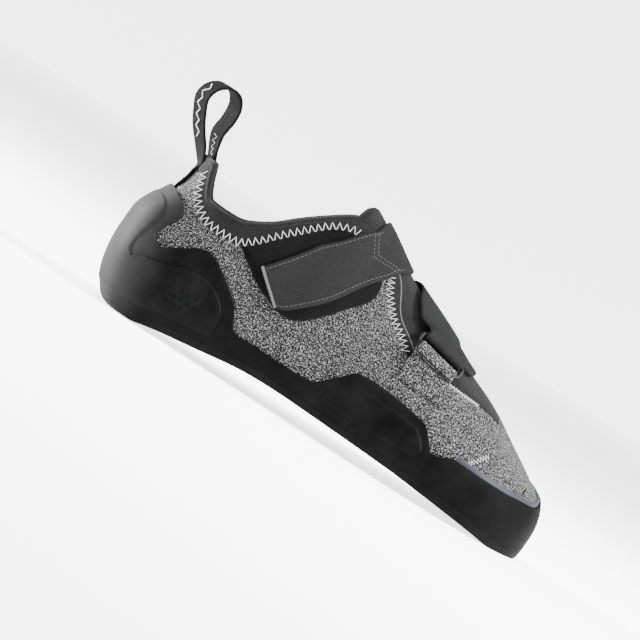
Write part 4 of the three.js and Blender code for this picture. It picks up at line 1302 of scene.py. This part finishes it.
# Columns: percent of the length, share of the ball's width, percent of the instep height, turn in degrees.
LOOP_ROWS = [
    [6.7, -.003, 88, 14], [5.2, -.02, 95.5, 34], [2.9, -.05, 104, 42], [1.3, -.08, 112, 42], [.4, -.09, 119, 42],
    [1.1, -.075, 125.5, 42], [3.1, -.02, 129.6, 42], [5.3, .035, 128.6, 42], [6.6, .07, 123, 42],
    [6.8, .072, 115, 42], [6.5, .065, 107, 40], [7.5, .045, 98, 26],
]


def pull_loop():
    outside = -RUBBER + 0.2
    inside = -RUBBER - GAP - 2 - GAP - LOOP_CLOTH / 2 - LOOP_WIDTH / 4
    back = on_heel([72, 76.8, 79, 81.5, 84])
    start = skin(back[:, 0], back[:, 1], np.array([outside - 0.9, outside, outside, outside, outside]))
    front = on_heel([90, 84, 78])
    end = skin(front[:, 0], front[:, 1], inside)
    rows = np.array(LOOP_ROWS)
    middle = np.stack([x_of(rows[:, 0]), rows[:, 1] * BALL, rows[:, 2]], -1)
    path = np.concatenate([start, middle, end])
    turns = np.concatenate([np.zeros(5), rows[:, 3], [12, 0, 0]])
    keys = np.concatenate([[0], np.cumsum(np.linalg.norm(np.diff(path, axis=0), axis=1))])
    fine = bend(keys, np.concatenate([path, turns[:, None]], 1), np.linspace(0, keys[-1], 260))
    line, turn = fine[:, :3], np.radians(fine[:, 3])
    run = np.gradient(line, axis=0)
    run /= np.linalg.norm(run, axis=1, keepdims=True)
    across = np.stack([-np.sin(turn), np.cos(turn), np.zeros_like(turn)], -1)
    across -= run * (across * run).sum(1, keepdims=True)
    across /= np.linalg.norm(across, axis=1, keepdims=True)
    share = np.linspace(-0.5, 0.5, 16)[None, :, None]
    points = line[:, None] + across[:, None] * share * LOOP_WIDTH
    ribbon_piece("loop_tape", points, LOOP_WIDTH, LOOP_CLOTH, LOOP_LOOK, ["pull_loop"])
    return points


loop_points = pull_loop()

# %% [markdown]
# ## Seams
# Every seam is a thread of its own along a line on the skin or on the strap. A zigzag steps to both sides
# of its line in turn. A running stitch keeps to the line and dips under the surface between its stitches.

# %% Threads
def frame_of(places, out):
    """Path and unit normals over the skin along rib places."""
    path = skin(places[:, 0], places[:, 1], out)
    return path, skin(places[:, 0], places[:, 1], out + 1.0) - path


def sew(name, path, normal, look, pitch, zigzag=0.0, radius=0.3, dip=0.0):
    """A thread along a path: stepped sideways by half of zigzag in turn, sunk in a wave by dip."""
    run = lengths(path[:, None], 0)[:, 0]
    stitches = max(4, int(run[-1] / pitch)) * 2
    at = np.linspace(0, run[-1], stitches * 4 + 1)
    place = np.stack([np.interp(at, run, path[:, k]) for k in range(3)], -1)
    up = np.stack([np.interp(at, run, normal[:, k]) for k in range(3)], -1)
    up /= np.linalg.norm(up, axis=1, keepdims=True)
    along = np.gradient(place, axis=0)
    side = np.cross(up, along)
    side /= np.linalg.norm(side, axis=1, keepdims=True) + 1e-12
    phase = np.arange(len(at)) / 4
    swing = 2 * np.abs(phase % 2 - 1) - 1
    place = place + side * (swing * zigzag / 2)[:, None] - up * (dip * (0.5 - 0.5 * np.cos(phase * math.pi)))[:, None]
    return tube(name, place, radius, look, 6, up=up)


def both_sides(name, places, out, *how, **more):
    """The same seam on the outer and on the inner side of the shoe."""
    sew(f"{name}_outer", *frame_of(places, out), *how, **more)
    other = places.copy()
    other[:, 1] = 2 - other[:, 1]
    sew(f"{name}_inner", *frame_of(other, out), *how, **more)


ON_KNIT = -RUBBER - GAP + 0.25
ON_BINDING = -RUBBER + 0.35
both_sides("collar_zigzag", lay(COLLAR_SEAM, 200), ON_BINDING, THREAD_LOOK, 3.7, zigzag=4.6, radius=0.17)
both_sides("throat_zigzag", lay(THROAT_SEAM[3:9], 120), ON_BINDING, THREAD_LOOK, 2.9, zigzag=4.4, radius=0.16)
both_sides("overlock", lay(THROAT_SEAM[9:12], 60), ON_KNIT, THREAD_LOOK, 1.7, zigzag=1.8, radius=0.22)
both_sides("throat_cord", lay(THROAT_TOP[3:], 60), ON_BINDING - 0.2, CORD_LOOK, 1.4, radius=0.4, dip=0.25)
rim_line = toe_places(2.5, start=78)
sew("rim_line", *frame_of(rim_line, -RUBBER - GAP + 0.2), CORD_LOOK, 2.0, radius=0.2)
sew("vamp_zigzag", *frame_of(lay([[80.9, 33], [82.3, 37.5], [83.6, 42]], 30), ON_KNIT), THREAD_LOOK, 1.9,
    zigzag=2.6, radius=0.13)
sew("vamp_stitch", *frame_of(lay([[93.8, 31.5], [93.9, 37.5]], 20), ON_KNIT), DARK_THREAD, 2.0, radius=0.3, dip=0.5)


def on_ribbon(points, rows, columns, rise, start, end):
    """Path and normals over a ribbon along a line of its grid, from one row and column to another."""
    normal = grid_normals(points)
    share = np.linspace(0, 1, 80)
    r = start[0] * (1 - share) + end[0] * share
    c = start[1] * (1 - share) + end[1] * share
    r0, c0 = np.minimum(r.astype(int), rows - 2), np.minimum(c.astype(int), columns - 2)
    fr, fc = (r - r0)[:, None], (c - c0)[:, None]

    def at(grid):
        low = grid[r0, c0] * (1 - fc) + grid[r0, c0 + 1] * fc
        return low * (1 - fr) + (grid[r0 + 1, c0] * (1 - fc) + grid[r0 + 1, c0 + 1] * fc) * fr
    facing = at(normal)
    return at(points) + facing * rise, facing


def strap_seams():
    """Edge lines on the crossing leg, a chevron before its end, and the pale cut end."""
    rows, columns = strap_points.shape[:2]
    rise = CLOTH / 2 + 0.12
    first = rows - strap_parts[2]
    for name, column in (("front", columns - 3.2), ("back", 2.2)):
        sew(f"strap_edge_{name}", *on_ribbon(strap_points, rows, columns, rise, (first + 88, column),
                                             (rows - 3, column)), CORD_LOOK, 2.4, radius=0.13, dip=0.3)
    middle = columns / 2
    for k in range(2):
        tip, arm = first + 104 + 4 * k, first + 92 + 4 * k
        for name, column in (("front", columns - 2), ("back", 1)):
            sew(f"chevron_{name}_{k}", *on_ribbon(strap_points, rows, columns, rise, (arm, column), (tip, middle)),
                CORD_LOOK, 1.9, radius=0.14, dip=0.35)
    end = strap_points[-1]
    tube("strap_end", end + (strap_points[-1] - strap_points[-2]) * 0.2, 0.95, CORD_LOOK, 10, up=grid_normals(strap_points)[-1])


strap_seams()
loop_rows, loop_columns = loop_points.shape[:2]
for face in (-1, 1):
    sew(f"loop_dashes_{'under' if face < 0 else 'over'}",
        *on_ribbon(loop_points, loop_rows, loop_columns, face * (LOOP_CLOTH / 2 + 0.1), (62, 7.5), (118, 7.5)),
        THREAD_LOOK, 5.5, zigzag=3.0, radius=0.3)
    sew(f"loop_climb_{'under' if face < 0 else 'over'}",
        *on_ribbon(loop_points, loop_rows, loop_columns, face * (LOOP_CLOTH / 2 + 0.1), (196, 7.5), (228, 7.5)),
        THREAD_LOOK, 3.2, zigzag=3.0, radius=0.15)
for name in RINGS:
    grid = tab_points[name]
    rows, columns = grid.shape[:2]
    for row in (28, 31):
        sew(f"tab_seam_{name}_{row}", *on_ribbon(grid, rows, columns, CLOTH / 2 + 0.12, (row, 1.2),
                                                 (row, columns - 2.2)), DARK_THREAD, 1.6, radius=0.4, dip=0.3)

# %% [markdown]
# ## Stage, camera and light
# The shoe stands on a white floor before a white wall, and both glow, so that black rubber reads against
# them. The sky over the camera stays dim, or the rubber would mirror it and turn grey. A strong lamp
# behind the heel draws its back, and one above lights the knit.

# %% Stage
WHITE = 2.6


def glowing(name, corners, look):
    mesh = bpy.data.meshes.new(name)
    mesh.from_pydata(corners, [], [(0, 1, 2, 3)])
    sheet = bpy.data.objects.new(name, mesh)
    bpy.context.scene.collection.objects.link(sheet)
    sheet.data.materials.append(look)


def stage():
    """A white floor, a white wall far behind the shoe, and a dim sky."""
    look = plain_look("floor", grey(0.8), 0.95)
    shader = look.node_tree.nodes["Principled BSDF"]
    shader.inputs["Emission Color"].default_value = (1, 1, 1, 1)
    shader.inputs["Emission Strength"].default_value = WHITE
    shader.inputs["Specular IOR Level"].default_value = 0.0
    far, high = 9.0, 2.2
    glowing("floor", [(-far, -far, 0), (far, -far, 0), (far, far, 0), (-far, far, 0)], look)
    glowing("wall", [(far, 5, 0), (-far, 5, 0), (-far, 5, high), (far, 5, high)], look)
    world = bpy.data.worlds.new("studio")
    world.use_nodes = True
    world.node_tree.nodes["Background"].inputs["Color"].default_value = (1, 1, 1, 1)
    world.node_tree.nodes["Background"].inputs["Strength"].default_value = 0.22
    bpy.context.scene.world = world


def lamp(name, place, aim, size, power):
    light = bpy.data.lights.new(name, "AREA")
    light.shape = "RECTANGLE"
    light.size, light.size_y = size
    light.energy = power
    lamp_object = bpy.data.objects.new(name, light)
    lamp_object.location = place
    lamp_object.rotation_mode = "QUATERNION"
    lamp_object.rotation_quaternion = (Vector(aim) - Vector(place)).to_track_quat("-Z", "Y")
    bpy.context.scene.collection.objects.link(lamp_object)


ROLL = math.radians(32.4)
CAMERA = dict(target=(0.0914, 0.0, 0.0524), distance=1.8, lens=192.9, rise=math.radians(2.5))


def camera():
    """The camera looks along +Y; its up is the frame's up turned back by the roll about that axis."""
    up = Vector((-math.sin(ROLL), 0, math.cos(ROLL)))
    right = Vector((math.cos(ROLL), 0, math.sin(ROLL)))
    back = (Vector((0, -math.cos(CAMERA["rise"]), 0)) + up * math.sin(CAMERA["rise"])).normalized()
    lens = bpy.data.cameras.new("camera")
    lens.lens = CAMERA["lens"]
    lens.sensor_width = 36
    view = bpy.data.objects.new("camera", lens)
    view.location = Vector(CAMERA["target"]) + back * CAMERA["distance"]
    upright = back.cross(right)
    turn = Matrix((right, upright, back)).transposed()
    view.rotation_mode = "QUATERNION"
    view.rotation_quaternion = turn.to_quaternion()
    bpy.context.scene.collection.objects.link(view)
    bpy.context.scene.camera = view


stage()
camera()
middle = Vector(CAMERA["target"])
lamp("heel_lamp", middle + Vector((-1.3, 0.4, 0.15)), middle, (0.6, 0.5), 240)
lamp("top_lamp", middle + Vector((-0.25, -0.25, 1.2)), middle, (0.8, 0.5), 34)
lamp("toe_lamp", middle + Vector((1.0, -0.35, 0.9)), middle, (0.5, 0.5), 140)

# %% Finish
print("quads:", sum(made.values()), made)
